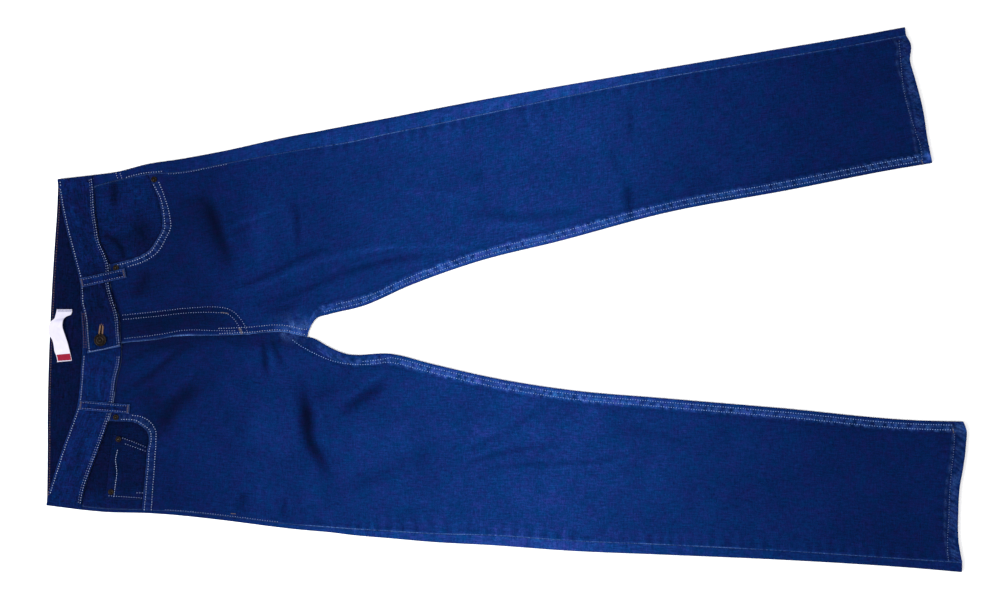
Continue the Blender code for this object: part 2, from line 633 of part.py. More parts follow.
# Waistband: sections across the strip, from its button end to its other end.
def band_sections():
    sections = []

    def add(top_x, top_y, low_x, low_y, z):
        share = np.linspace(0.0, 1.0, 4)
        sections.append(np.stack([top_x + (low_x - top_x) * share, top_y + (low_y - top_y) * share, np.full(4, z)], axis=1))

    def front_stretch(tab, low_ys):
        """Sections at the same points of the waist seam as the panels' columns."""
        for low_y in low_ys:
            at = np.array(low_y)
            top_x, top_y, z = (float(read(tab, "low_y", name, at)) for name in ("top_x", "top_y", "height"))
            add(top_x, top_y, float(waist_x(at)), low_y, z)

    def side_roll(side, front_tab_end, back_row_end, out):
        x, top_y, low_y = side
        front_z, back_z = front_tab_end, SEAT_LIFT
        middle = (front_z + back_z) / 2
        radius = middle - back_z
        low_x = float(waist_x(low_y))
        for turn in np.radians([35.0, 65.0, 90.0, 115.0, 145.0] if out > 0 else [145.0, 115.0, 90.0, 65.0, 35.0]):
            inset = -out * radius * (1.0 - np.sin(turn))
            add(x + 0.3 * (1.0 - np.sin(turn)), top_y + inset, low_x, low_y + inset, middle + radius * np.cos(turn))

    low_ys = front_row("left", 0.0, FRONT_COLUMNS)[:-1, 1][::-1]
    front_stretch(BAND_FRONT_LEFT, [-57.5, -54.2, *[y for y in low_ys if y > -53.0]])
    side_roll(BAND_SIDE_LEFT, BAND_FRONT_LEFT["height"][-1], None, 1.0)
    rows = np.stack([BAND_BACK["top_x"], BAND_BACK["top_y"], BAND_BACK["low_y"]], axis=1)
    for top_x, top_y, low_y in curve_points(rows, 13):
        add(top_x, top_y, float(read(BACK_WAIST_SEAM, "y", "x", low_y)), low_y, SEAT_LIFT)
    side_roll(BAND_SIDE_RIGHT, BAND_FRONT_RIGHT["height"][0], None, -1.0)
    low_ys = front_row("right", 0.0, FRONT_COLUMNS)[:, 1]
    front_stretch(BAND_FRONT_RIGHT, [*[y for y in low_ys if -252.0 < y < -58.0], -44.0, -30.0, -13.0])
    return sections


band = grid_object("waistband", band_sections(), BAND_WALL, DARK_DENIM)
band_heights_left = BAND_FRONT_LEFT
hole_y = BUTTON_Y
eye = [
    (BUTTON_X + 3.4 * np.cos(a), hole_y + 3.4 * np.sin(a))
    for a in np.linspace(np.radians(110.0), np.radians(430.0), 12)
]
slit = [(BUTTON_X + 2.2, hole_y + BUTTONHOLE_LENGTH), (BUTTON_X + 1.0, hole_y + BUTTONHOLE_LENGTH)]
cut(band, outline_cutter("buttonhole_cut", eye + slit, 7.15, 14.0))


# Pocket facings: from the waist seam and the outseam out to a margin past the opening.
def facing_rows(side):
    leg = LEFT_LEG if side == "left" else RIGHT_LEG
    line = OPENING[side]
    out = 1.0 if side == "left" else -1.0
    tangent = np.gradient(line, axis=0)
    tangent /= np.linalg.norm(tangent, axis=1)[:, None]
    outward = np.stack([tangent[:, 1], -tangent[:, 0]], axis=1) * out
    stations = [section(leg, t)[2:4] for t in (0.0, 0.5, 1.0, 1.5, 2.0, 2.3)]
    seam = curve_points(stations, 60)
    corner = seam[0]
    start_y, corner_y = line[0, 1], corner[1] - out * GAP
    shared = front_row(side, 0.0, FRONT_COLUMNS)[:, 1]
    shared = np.array([y for y in shared if out * y > out * start_y - 14.0 and out * y < out * corner_y - 1.0])[::-1]
    waist_y = np.append(shared, corner_y)
    waist = np.stack([waist_x(waist_y) + WAIST_GAP, waist_y], axis=1)
    stop = np.argmin(np.abs(seam[:, 0] - line[-1, 0] - FACING_MARGIN * 0.8))
    down = seam[np.linspace(8, stop, 5).astype(int)] - np.array([0.0, out * GAP / 2])
    near = np.concatenate([waist, down])
    samples = np.linspace(0, len(line) - 1, len(near)).astype(int)
    far = (line + outward * FACING_MARGIN)[samples]
    far[0] = (waist_x(near[0, 1] + out * 0.5) + 7.0, near[0, 1] + out * 0.5)
    for k in range(len(far)):
        limit = float(np.interp(far[k, 0], seam[:, 0], seam[:, 1])) - out * (GAP / 2 + 0.05)
        if out * (far[k, 1] - limit) > 0:
            far[k, 1] = limit
        far[k, 0] = max(far[k, 0], float(waist_x(far[k, 1])) + 4.0)
    far[-1] = (seam[stop, 0] + 6.0, float(np.interp(seam[stop, 0] + 6.0, seam[:, 0], seam[:, 1])) - out * (GAP / 2 + 0.05))
    rows = []
    for a, b in zip(near, far):
        row = a + np.linspace(0.0, 1.0, 6)[:, None] * (b - a)
        seam_y = np.interp(row[:, 0], seam[:, 0], seam[:, 1])
        from_seam = np.abs(row[:, 1] - seam_y)
        z = support(side, row[:, 0], row[:, 1], from_seam, 200.0, 0.0, 0.0, FOLD_HEIGHT)
        rows.append(np.column_stack([row, z]))
    return rows


for side in ("left", "right"):
    grid_object("pocket_facing_" + side, facing_rows(side), WALL, DENIM, flip=side == "right")

coin_edges = curve_points(np.stack([COIN_POCKET[name] for name in "open_x open_y deep_x deep_y".split()], axis=1), 7)
coin_rows = []
for open_x, open_y, deep_x, deep_y in coin_edges:
    across = np.linspace(0.0, 1.0, 7)
    x, y = open_x + (deep_x - open_x) * across, open_y + (deep_y - open_y) * across
    seam_y = np.interp(x, RIGHT_LEG["seam_x"], RIGHT_LEG["seam_y"])
    z = support("right", x, y, np.abs(y - seam_y), 200.0, 0.0, 0.0, FOLD_HEIGHT) + 1.0 + AIR
    coin_rows.append(np.column_stack([x, y, z]))
grid_object("coin_pocket", coin_rows, 1.0, DARK_DENIM, flip=True)


def highest_under(height, x, y, reach):
    """The highest point of a layer within a small disc."""
    turn = np.linspace(0.0, 2 * np.pi, 13)
    xs = np.concatenate([[x], x + reach * np.cos(turn)])
    ys = np.concatenate([[y], y + reach * np.sin(turn)])
    return float(np.max(height(xs, ys)))


# Belt loops: strips from the band's upper edge to just below the waist seam.
def loop_rows(start, end, heights, arch, count=9):
    start, end = np.array(start, float), np.array(end, float)
    d = (end - start) / np.linalg.norm(end - start)
    side_step = np.array([-d[1], d[0]]) * LOOP_WIDTH / 2
    rows = []
    for f in np.linspace(0.0, 1.0, count):
        centre = start + (end - start) * f
        z = np.interp(f, heights[0], heights[1]) + arch * np.sin(np.pi * f) ** 0.7
        rows.append([(*(centre - side_step * s), z) for s in (1.0, 0.0, -1.0)])
    return rows


left_end = (-468.4, 32.9)
right_end = (-463.5, -134.5)
left_low = highest_under(lambda x, y: front_top("left", x, y), left_end[0] - 3.0, left_end[1], 9.0) + AIR + LOOP_WALL
right_low = highest_under(lambda x, y: front_top("right", x, y), right_end[0] - 3.0, right_end[1], 9.0) + AIR + LOOP_WALL
grid_object(
    "belt_loop_front_left",
    loop_rows((-523.6, 20.6), left_end, ([0.0, 0.62, 0.8, 1.0], [8.9 + AIR + LOOP_WALL, 8.9 + AIR + LOOP_WALL, left_low + 0.9, left_low + 0.4]), 0.5),
    LOOP_WALL, DARK_DENIM, flip=True,
)
grid_object(
    "belt_loop_front_right",
    loop_rows((-525.6, -129.6), right_end, ([0.0, 0.66, 0.8, 1.0], [7.5 + AIR + LOOP_WALL, 7.5 + AIR + LOOP_WALL, right_low + 0.9, right_low + 0.4]), 0.5),
    LOOP_WALL, DARK_DENIM, flip=True,
)
for name, y, x in (("left", 62.0, -559.5), ("centre", -52.0, -563.5), ("right", -166.0, -566.2)):
    rows = [[(px, py, 0.0) for px, py, _ in row] for row in loop_rows((x, y), (x + 60.0, y), ([0.0, 1.0], [0.0, 0.0]), 0.0, 3)]
    grid_object("belt_loop_back_" + name, rows, 1.1, DARK_DENIM)

# Back pockets: five-sided patches on the underside of the seat.
for name, x, y, angle in zip(PATCH_NAMES, PATCHES["x"], PATCHES["y"], np.radians(PATCHES["angle"])):
    rows = []
    for s in np.linspace(-1.0, 1.0, 7):
        end = PATCH_LENGTH - (PATCH_LENGTH - PATCH_SIDE) * abs(s)
        row = []
        for f in np.linspace(0.0, 1.0, 5):
            along, across = f * end, s * PATCH_WIDTH / 2 * (1.0 - 0.08 * f)
            row.append((x + along * np.cos(angle) - across * np.sin(angle), y + along * np.sin(angle) + across * np.cos(angle), 0.0))
        rows.append(row)
    grid_object(name, rows, WALL, DENIM, flip=True)

# Label: a strip on the inner face of the back band, bowed between its sewn ends.
label_line = curve_points([(-544.2, -10.0, 4.6), (-551.5, -26.0, 6.4), (-554.3, -41.0, 6.8), (-550.5, -58.0, 6.2), (-544.4, -76.6, 4.6)], 11)
widths = np.interp(np.linspace(0, 1, 11), [0.0, 0.3, 0.6, 1.0], [19.5, 14.0, 15.0, 19.5])
label_rows = []
for k, (x, y, z) in enumerate(label_line):
    d = label_line[min(k + 1, 10)] - label_line[max(k - 1, 0)]
    n = np.array([-d[1], d[0]]) / np.hypot(d[0], d[1])
    label_rows.append([(x + n[0] * w, y + n[1] * w, z + LABEL_WALL / 2) for w in (-widths[k] / 2, 0.0, widths[k] / 2)])
grid_object("inner_label", label_rows, LABEL_WALL, (0.85, 0.84, 0.9), 0.6, flip=True)

# Tack button: domed head on a shank that stands on the lower band end.
head = 9.6 + 0.45
foot = 6.9 + 0.3
turned(
    "button",
    [(0.0, head + 2.3), (3.2, head + 2.2), (5.0, head + 1.7), (5.8, head + 1.8), (7.3, head + 1.9), (8.1, head + 1.3),
     (8.2, head + 0.7), (7.6, head + 0.1), (BUTTON_SHANK, head), (BUTTON_SHANK, foot), (0.0, foot)],
    BUTTON_X, BUTTON_Y, 0.0, (0.045, 0.03, 0.018), 0.42, 1.0, 18,
)
for name, (x, y, where) in RIVETS.items():
    if where == "coin":
        seam_y = np.interp(x, RIGHT_LEG["seam_x"], RIGHT_LEG["seam_y"])
        z = highest_under(
            lambda px, py: support("right", px, py, np.abs(py - seam_y), 200.0, 0.0, 0.0, FOLD_HEIGHT), x, y, RIVET_RADIUS
        ) + 1.0 + AIR
    else:
        leg = LEFT_LEG if where == "left" else RIGHT_LEG
        seam_y = np.interp(x, leg["seam_x"], leg["seam_y"])
        z = highest_under(lambda px, py: front_top(where, px, py, np.abs(py - seam_y)), x, y, RIVET_RADIUS)
    z += GAP
    turned(
        name,
        [(0.0, z + 1.2), (1.3, z + 1.15), (1.8, z + 0.8), (2.8, z + 0.85), (RIVET_RADIUS, z + 0.35), (RIVET_RADIUS, z), (0.0, z)],
        x, y, 0.0, (0.03, 0.022, 0.018), 0.5, 1.0, 10,
    )
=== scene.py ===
"""The looks of the jeans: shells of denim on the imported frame, their stitching, metal and label.

Points are in millimetres in the row's frame until a mesh is made from them. +X
runs from the waist to the hems, +Y to the wearer's left, +Z up.
"""

import bmesh
import bpy
import numpy as np
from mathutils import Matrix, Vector
from mathutils.bvhtree import BVHTree


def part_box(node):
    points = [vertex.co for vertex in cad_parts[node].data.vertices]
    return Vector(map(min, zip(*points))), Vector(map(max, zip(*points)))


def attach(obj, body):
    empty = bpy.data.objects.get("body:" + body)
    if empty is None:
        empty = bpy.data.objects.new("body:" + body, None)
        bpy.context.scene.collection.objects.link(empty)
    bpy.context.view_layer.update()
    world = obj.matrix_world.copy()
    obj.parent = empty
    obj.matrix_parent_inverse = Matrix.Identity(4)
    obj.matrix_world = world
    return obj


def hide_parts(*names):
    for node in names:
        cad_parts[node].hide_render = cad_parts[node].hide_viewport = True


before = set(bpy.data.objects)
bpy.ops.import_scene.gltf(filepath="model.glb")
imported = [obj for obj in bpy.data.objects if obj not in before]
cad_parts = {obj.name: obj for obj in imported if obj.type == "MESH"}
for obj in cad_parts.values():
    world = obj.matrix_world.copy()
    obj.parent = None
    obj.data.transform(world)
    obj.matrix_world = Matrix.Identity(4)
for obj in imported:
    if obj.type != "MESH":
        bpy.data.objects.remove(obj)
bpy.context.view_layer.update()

SEEN = "root"

# ---- Driving dimensions, millimetres ----
WALL = 1.1  # one ply of denim
HEM_WALL = 2.4  # the turned-up hem
HEM_DEPTH = 14.5
BAND_WALL = 2.2  # the waistband's two plies
LOOP_WALL = 1.2
LABEL_WALL = 1.0
GAP = 0.35  # between two pieces at a seam
WAIST_GAP = 0.6
AIR = 0.35  # between two sheets lying on each other
SEAT_LIFT = 1.45  # the back pockets and loops lie under the seat
FOLD_HEIGHT = 4.8  # a leg's rolled edge
HEM_FOLD_HEIGHT = 5.9
CONTACT = 2 * WALL + AIR  # top of a front lying on a back
POCKET_RAISE = WALL + AIR + 0.05  # a front lying on a pocket facing
COIN_RAISE = 1.0 + AIR + 0.05
FLY_RAISE = WALL + AIR + 0.3
FLY_OVERLAP = 10.0
J_WIDTH = 33.0  # the fly's doubled strip
LOOP_WIDTH = 11.5
SHIFT_X, SHIFT_Y = -0.15, 0.0  # puts the outline's middle on the origin
MM = 0.001


def table(columns, rows):
    """A short table as a dictionary of named columns."""
    return dict(zip(columns.split(), np.array(rows, float).T))


# A leg's cross-sections from waist to hem: the outer edge, the outseam, and the
# front's inner boundary (the centre front down to the fork, then the inner
# edge). back_x is where the same section crosses the centre back.
SECTION = "edge_x edge_y seam_x seam_y inner_x inner_y back_x"
LEFT_LEG = table(SECTION, [
    (-509.6, 153.5, -507.5, 140.0, -474.8, -54.2, -521.0),  # waist
    (-479.5, 157.6, -477.6, 147.8, -438.9, -50.8, -451.0),  # yoke seam
    (-442.5, 167.0, -442.5, 154.7, -401.9, -44.4, -404.4),  # pocket
    (-401.9, 173.2, -400.0, 157.6, -357.6, -44.2, -362.5),
    (-346.5, 183.5, -346.5, 167.8, -318.2, -42.6, -320.7),  # fly end
    (-285.0, 197.2, -285.0, 179.1, -278.8, -39.8, -280.1),
    (-254.2, 203.5, -254.2, 184.7, -245.6, -45.9, -245.6),  # fork
    (-235.7, 206.7, -235.7, 187.5, -241.9, -34.8, -241.9),
    (-217.3, 210.4, -217.3, 190.4, -234.5, -23.5, -234.5),
    (-192.7, 215.1, -192.7, 194.5, -217.3, -17.8, -217.3),
    (-149.6, 223.1, -149.6, 204.0, -176.6, -7.8, -176.6),
    (-100.3, 232.8, -100.3, 213.8, -118.8, 17.5, -118.8),
    (-32.6, 245.8, -32.6, 227.9, -38.8, 45.9, -38.8),
    (65.9, 263.1, 65.9, 248.9, 65.9, 72.3, 65.9),  # knee
    (189.0, 284.2, 189.0, 273.2, 195.1, 106.7, 195.1),
    (336.7, 309.1, 336.7, 298.4, 349.0, 135.3, 349.0),
    (443.0, 327.0, 444.0, 316.9, 476.0, 160.2, 476.0),
    (490.6, 335.7, 491.8, 325.8, 524.3, 168.3, 524.3),  # hem
])
RIGHT_LEG = table(SECTION, [
    (-522.6, -258.9, -521.9, -255.2, -474.8, -54.2, -522.6),
    (-490.6, -261.7, -489.9, -258.0, -438.9, -50.8, -451.2),
    (-441.3, -262.9, -441.3, -259.1, -401.9, -44.4, -404.4),
    (-401.9, -265.8, -400.7, -261.3, -357.6, -44.2, -362.5),
    (-346.5, -271.9, -346.5, -267.0, -318.2, -42.6, -320.7),
    (-285.0, -279.8, -285.0, -274.5, -278.8, -39.8, -280.1),
    (-254.2, -283.3, -254.2, -277.7, -245.6, -45.9, -245.6),
    (-234.5, -285.1, -234.5, -279.1, -235.7, -48.1, -235.7),
    (-217.3, -286.6, -217.3, -280.4, -221.0, -56.7, -221.0),
    (-192.7, -289.7, -192.7, -282.3, -198.8, -66.2, -198.8),
    (-143.4, -294.0, -143.4, -285.3, -142.2, -66.6, -142.2),
    (-94.2, -298.3, -94.2, -288.2, -94.2, -78.4, -94.2),
    (-16.6, -302.6, -16.6, -290.4, -16.6, -96.1, -16.6),
    (78.2, -309.4, 78.2, -297.0, 78.2, -111.2, 78.2),
    (195.1, -314.3, 195.1, -302.0, 195.1, -121.4, 195.1),
    (336.7, -320.4, 336.7, -309.4, 336.7, -133.3, 336.7),
    (512.0, -331.4, 512.0, -321.0, 512.0, -148.8, 512.0),
    (560.7, -335.6, 561.1, -324.1, 562.0, -149.9, 562.0),
])
YOKE_ROW = 1.0
FORK_ROW = 6.0
HEM_ROW = 17.0
HEM_BAND_ROW = HEM_ROW - 0.30  # the hem's depth on the last 48 mm

# The hems are not quite straight: along-leg offset against the fraction across.
LEFT_HEM = table("across offset", [
    (0.0, 0.0), (0.06, 3.4), (0.2, -1.4), (0.33, 0.0), (0.6, 2.0), (0.8, 0.3), (1.0, 0.0),
])
RIGHT_HEM = table("across offset", [
    (0.0, 0.0), (0.15, -4.6), (0.35, -5.2), (0.55, -3.2), (0.68, 0.8), (0.84, 3.9), (0.94, 4.2), (1.0, 0.4),
])

# The seam between the front waistband and what hangs from it.
WAIST_SEAM = table("y x", [
    (153.5, -509.4), (140.0, -508.0), (106.0, -505.8), (90.7, -503.5), (68.6, -499.2),
    (55.5, -493.0), (42.7, -488.6), (19.3, -488.1), (-0.4, -483.2), (-18.8, -477.5),
    (-38.5, -475.8), (-61.9, -474.2), (-76.7, -475.2), (-97.6, -480.1), (-122.2, -483.4),
    (-140.3, -486.9), (-159.2, -493.0), (-183.8, -501.6), (-209.6, -511.5), (-234.3, -519.5),
    (-249.0, -522.2), (-258.9, -522.6),
])
BACK_WAIST_SEAM = table("y x", [
    (153.5, -509.4), (84.6, -513.0), (27.9, -517.0), (-17.1, -519.0), (-80.4, -521.5),
    (-172.7, -523.0), (-230.6, -522.8), (-258.9, -523.0),
])

# The waistband along its length, from the button end round the left side, the
# back and the right side to the end that lies under the button: its upper edge,
# the y where it meets the waist seam, and the height of its outer face.
BAND_FRONT_LEFT = table("top_x top_y low_y height", [
    (-515.2, -65.6, -57.5, 9.6),  # button end
    (-517.0, -44.7, -40.0, 9.6),
    (-519.4, -18.8, -16.0, 9.6),
    (-523.1, -4.1, -1.0, 9.4),
    (-524.4, 20.0, 21.0, 8.3),
    (-530.5, 45.0, 46.0, 7.7),
    (-541.0, 84.6, 84.0, 7.4),
    (-547.5, 114.0, 112.0, 7.2),
    (-551.2, 136.0, 138.0, 6.9),
])
BAND_SIDE_LEFT = (-552.7, 148.6, 153.5)
BAND_BACK = table("top_x top_y low_y", [
    (-552.2, 138.0, 142.0),
    (-553.4, 110.0, 112.0),
    (-556.4, 66.0, 66.0),
    (-559.4, 18.0, 18.0),
    (-561.5, -25.0, -25.0),
    (-563.7, -80.4, -80.4),
    (-564.9, -135.0, -135.0),
    (-565.0, -190.0, -190.0),
    (-565.6, -241.0, -246.0),
])
BAND_SIDE_RIGHT = (-566.3, -253.3, -258.9)
BAND_FRONT_RIGHT = table("top_x top_y low_y height", [
    (-563.9, -238.0, -244.0, 6.8),
    (-555.4, -212.1, -214.0, 7.1),
    (-546.7, -185.0, -186.0, 7.4),
    (-536.6, -156.7, -158.0, 7.4),
    (-528.5, -133.0, -134.0, 7.2),
    (-525.2, -110.0, -110.0, 7.0),
    (-523.4, -86.0, -87.0, 6.9),
    (-521.6, -60.0, -60.0, 6.9),
    (-522.4, -35.0, -34.0, 6.9),
    (-523.8, -14.0, -13.0, 6.9),
])

# The curved edges of the front pockets, from the waist seam to the outseam.
LEFT_OPENING = table("x y", [
    (-486.0, 43.8), (-469.4, 48.0), (-451.2, 54.0), (-439.8, 60.8), (-429.5, 75.5),
    (-423.7, 87.5), (-424.3, 106.0), (-428.5, 124.6), (-436.0, 143.7), (-440.5, 154.0),
])
RIGHT_OPENING = table("x y", [
    (-486.0, -149.3), (-468.4, -150.1), (-456.7, -151.2), (-447.7, -156.5), (-441.1, -163.8),
    (-439.5, -172.7), (-441.9, -185.0), (-443.2, -203.0), (-445.3, -224.2), (-448.2, -258.2),
])
FACING_MARGIN = 12.0  # how far a facing runs on under the front panel
COIN_POCKET = table("open_x open_y deep_x deep_y", [
    (-483.5, -166.0, -434.5, -183.5),
    (-486.0, -184.0, -435.0, -193.0),
    (-489.0, -205.0, -436.0, -207.0),
    (-491.5, -226.0, -437.5, -227.0),
    (-493.5, -245.5, -438.5, -247.0),
])

# The largest folds: ridges where the height is positive, troughs where negative.
FOLD = "start_x start_y end_x end_y half_width height"
LEFT_FOLDS = table(FOLD, [
    (-390.0, 118.0, -362.0, 32.0, 13.0, 1.7),
    (-368.0, 133.0, -341.0, 40.0, 8.0, -1.6),
    (-345.0, 122.0, -320.0, 46.0, 12.0, 1.3),
    (-300.0, -14.0, -100.0, 40.0, 9.0, 1.6),
    (-254.0, 2.0, -56.0, 62.0, 8.0, 1.1),
    (-330.0, 4.0, -217.0, 46.0, 8.0, 1.0),
    (20.0, 200.0, 160.0, 150.0, 16.0, 1.0),
])
RIGHT_FOLDS = table(FOLD, [
    (-306.0, -52.0, -300.0, -86.0, 6.0, 1.3),
    (-291.0, -48.0, -290.0, -90.0, 4.5, -1.2),
    (-283.0, -50.0, -282.0, -88.0, 4.0, 1.3),
    (-246.0, -122.0, -246.0, -216.0, 7.0, -1.3),
    (-232.0, -118.0, -230.0, -210.0, 9.0, 1.3),
    (-405.0, -124.0, -360.0, -176.0, 12.0, 1.4),
    (-52.0, -188.0, 125.0, -217.0, 13.0, 1.2),
    (-190.0, -150.0, -60.0, -190.0, 12.0, 1.0),
])

# Back pockets, hidden under the seat: width, length to the point, length at the sides.
PATCH_WIDTH, PATCH_LENGTH, PATCH_SIDE = 142.0, 155.0, 128.0
PATCHES = table("x y angle", [(-446.0, 63.0, -6.0), (-446.0, -148.0, 3.0)])
PATCH_NAMES = ("back_pocket_left", "back_pocket_right")

BUTTON_X, BUTTON_Y = -499.2, -49.6
BUTTON_RADIUS, BUTTON_SHANK = 8.2, 2.6
BUTTONHOLE_LENGTH = 18.0
RIVET_RADIUS = 3.8
RIVETS = {
    "rivet_left_side": (-433.4, 147.9, "left"),
    "rivet_left_waist": (-480.3, 39.2, "left"),
    "rivet_right_waist": (-480.4, -144.6, "right"),
    "rivet_coin_inner": (-477.2, -171.6, "coin"),
    "rivet_coin_outer": (-486.6, -236.6, "coin"),
}

DENIM = (0.008, 0.032, 0.155)
DARK_DENIM = (0.006, 0.016, 0.075)


# ---- Curves and small helpers ----
def smooth(t):
    t = np.clip(t, 0.0, 1.0)
    return t * t * (3.0 - 2.0 * t)


def hermite(values, knots, at):
    """A smooth curve through the rows of values at the knots, read at the given knot values."""
    values = np.asarray(values, float)
    values = values.reshape(len(values), -1)
    step = np.diff(knots)
    slope = np.diff(values, axis=0) / step[:, None]
    tangent = np.empty_like(values)
    tangent[0], tangent[-1] = slope[0], slope[-1]
    before, after = step[:-1, None], step[1:, None]
    tangent[1:-1] = (slope[:-1] * after + slope[1:] * before) / (before + after)
    at = np.atleast_1d(np.asarray(at, float))
    i = np.clip(np.searchsorted(knots, at, side="right") - 1, 0, len(step) - 1)
    h = step[i][:, None]
    f = ((at - knots[i]) / step[i])[:, None]
    return (
        (2 * f**3 - 3 * f**2 + 1) * values[i]
        + (f**3 - 2 * f**2 + f) * h * tangent[i]
        + (-2 * f**3 + 3 * f**2) * values[i + 1]
        + (f**3 - f**2) * h * tangent[i + 1]
    )


def curve_points(points, count):
    """That many points along the smooth curve through a few."""
    points = np.asarray(points, float)
    knots = np.concatenate([[0.0], np.cumsum(np.linalg.norm(np.diff(points, axis=0), axis=1))])
    return hermite(points, knots, np.linspace(0.0, knots[-1], count))


def read(tab, key, value, at):
    """One column of a table against another, smoothly."""
    order = np.argsort(tab[key])
    at = np.clip(np.asarray(at, float), tab[key].min(), tab[key].max())
    return hermite(tab[value][order], tab[key][order], at.ravel()).reshape(at.shape)


def waist_x(y):
    return read(WAIST_SEAM, "y", "x", y)


def section(leg, t):
    """The leg's section at a row number that may lie between two rows."""
    columns = np.stack([leg[name] for name in SECTION.split()], axis=1)
    reach = np.linalg.norm(np.diff(columns[:, [0, 1, 4, 5]], axis=0), axis=1)
    knots = np.concatenate([[0.0], np.cumsum(reach)])
    at = np.interp(t, np.arange(len(knots)), knots)
    found = hermite(columns, knots, at)[0]
    fork = int(FORK_ROW)
    if t <= FORK_ROW:  # both legs share the centre line down to the fork
        shared = np.stack([LEFT_LEG["inner_x"], LEFT_LEG["inner_y"], LEFT_LEG["back_x"]], axis=1)[: fork + 1]
        found[4:6] = hermite(shared[:, :2], np.arange(fork + 1.0), t)[0]
    else:
        found[4:6] = hermite(columns[fork:, 4:6], knots[fork:], at)[0]
    return found


def distance_to_line(points, x, y):
    """Least distance in the plane from each (x, y) to an open line of points."""
    best = np.full(np.shape(x), 1e9)
    for a, b in zip(points[:-1], points[1:]):
        d = b - a
        f = np.clip(((x - a[0]) * d[0] + (y - a[1]) * d[1]) / (d @ d), 0.0, 1.0)
        best = np.minimum(best, np.hypot(x - a[0] - f * d[0], y - a[1] - f * d[1]))
    return best


def inside(polygon, x, y):
    odd = np.zeros(np.shape(x), bool)
    for a, b in zip(polygon, np.roll(polygon, -1, axis=0)):
        if a[1] != b[1]:
            cross = (a[1] > y) != (b[1] > y)
            odd ^= cross & (x < (b[0] - a[0]) * (y - a[1]) / (b[1] - a[1]) + a[0])
    return odd


def opening_line(side):
    tab = LEFT_OPENING if side == "left" else RIGHT_OPENING
    return curve_points(np.stack([tab["x"], tab["y"]], axis=1), 22)


OPENING = {side: opening_line(side) for side in ("left", "right")}


def opening_polygon(side):
    """The pocket opening, widened past the waist seam and the outer edge."""
    line = OPENING[side]
    outer_y = 185.0 if side == "left" else -300.0
    return np.concatenate([[[-540.0, line[0, 1]]], line, [[line[-1, 0], outer_y], [-540.0, outer_y]]])


def from_opening(side, x, y):
    """Distance out of the pocket opening, 0 inside it."""
    gap = distance_to_line(OPENING[side], x, y)
    return np.where(inside(opening_polygon(side), x, y), 0.0, gap)


# ---- Heights of the layers ----
def lift(x):
    """How far the seat is held off the surface by what is sewn on its underside."""
    return SEAT_LIFT * (1.0 - smooth((np.asarray(x) + 285.0) / 75.0))


def folds(tab, x, y):
    total = np.zeros(np.shape(x))
    for k in range(len(tab["height"])):
        a = np.array([tab["start_x"][k], tab["start_y"][k]])
        b = np.array([tab["end_x"][k], tab["end_y"][k]])
        d = b - a
        along = ((x - a[0]) * d[0] + (y - a[1]) * d[1]) / (d @ d)
        off = ((x - a[0]) * -d[1] + (y - a[1]) * d[0]) / np.linalg.norm(d)
        taper = smooth((along + 0.25) / 0.45) * smooth((1.25 - along) / 0.45)
        total += tab["height"][k] * taper * np.exp(-((off / tab["half_width"][k]) ** 2))
    return total


def fly_edge_y(x):
    return read({"x": LEFT_LEG["inner_x"][:7], "y": LEFT_LEG["inner_y"][:7]}, "x", "y", x)


def support(side, x, y, from_seam, from_inner, crown, inner_edge, fold_height):
    """Top of the sheet that lies straight on the back panel: a pocket facing, or the front where nothing lies under it."""
    rolled = fold_height - CONTACT
    outer = (rolled - 0.1) * np.exp(-((from_seam / 17.0) ** 2))
    inner = inner_edge * (rolled - 0.1) * np.exp(-((from_inner / 12.0) ** 2))
    waist = 1.3 * np.exp(-((np.maximum(x - waist_x(y), 0.0) / 30.0) ** 2))
    tab = LEFT_FOLDS if side == "left" else RIGHT_FOLDS
    soft = crown + folds(tab, x, y)
    soft = 0.5 * (soft + np.sqrt(soft * soft + 0.15))
    joined = (outer**3 + inner**3 + waist**3 + soft**3) ** (1.0 / 3.0)
    return lift(x) + CONTACT + joined


def pocket_raise(side, x, y):
    """How far the front panel is held up by the facing and the coin pocket under its edge."""
    raised = POCKET_RAISE * (1.0 - smooth((from_opening(side, x, y) - FACING_MARGIN - 3.0) / 28.0))
    if side == "right":
        deep = np.stack([COIN_POCKET["deep_x"], COIN_POCKET["deep_y"]], axis=1)
        raised = raised + COIN_RAISE * (1.0 - smooth((distance_to_line(deep, x, y) - 15.0) / 26.0))
    return raised


def fly_raise(x, y):
    """The left front's doubled strip over the right front's edge."""
    across = 1.0 - smooth((y - fly_edge_y(x) - J_WIDTH) / 16.0)
    along = 1.0 - smooth((x + 313.0) / 24.0)
    return FLY_RAISE * across * along


def crown_of(t):
    """How much the front stands off the back between its edges, row by row."""
    return np.interp(t, [0, 1, 4, 8, 11, 13, 15, 17], [0.0, 0.4, 1.5, 1.9, 1.7, 1.2, 1.0, 0.4])


def rise_to_leg(t):
    """0 where the inner boundary is a seam on top, 1 where it is the leg's inner edge."""
    return float(smooth((t - FORK_ROW) / 2.0))


def fold_height(t):
    return FOLD_HEIGHT + (HEM_FOLD_HEIGHT - FOLD_HEIGHT) * float(smooth((t - HEM_ROW + 1.0) / 0.6))


def hem_raise(t):
    """The turned-up hems lie on each other."""
    return (2 * HEM_WALL + AIR + 0.1 - CONTACT) * float(smooth((t - HEM_ROW + 1.3) / 0.9))


def wall_at(t):
    """Thickness as a share of the hem's."""
    return 1.0 if t > HEM_BAND_ROW else WALL / HEM_WALL


def rim_gap(t):
    """Half the gap between the two rims at the inner edge, whose inner corners lean towards each other."""
    return GAP / 2 + 0.3 * HEM_WALL * wall_at(t)


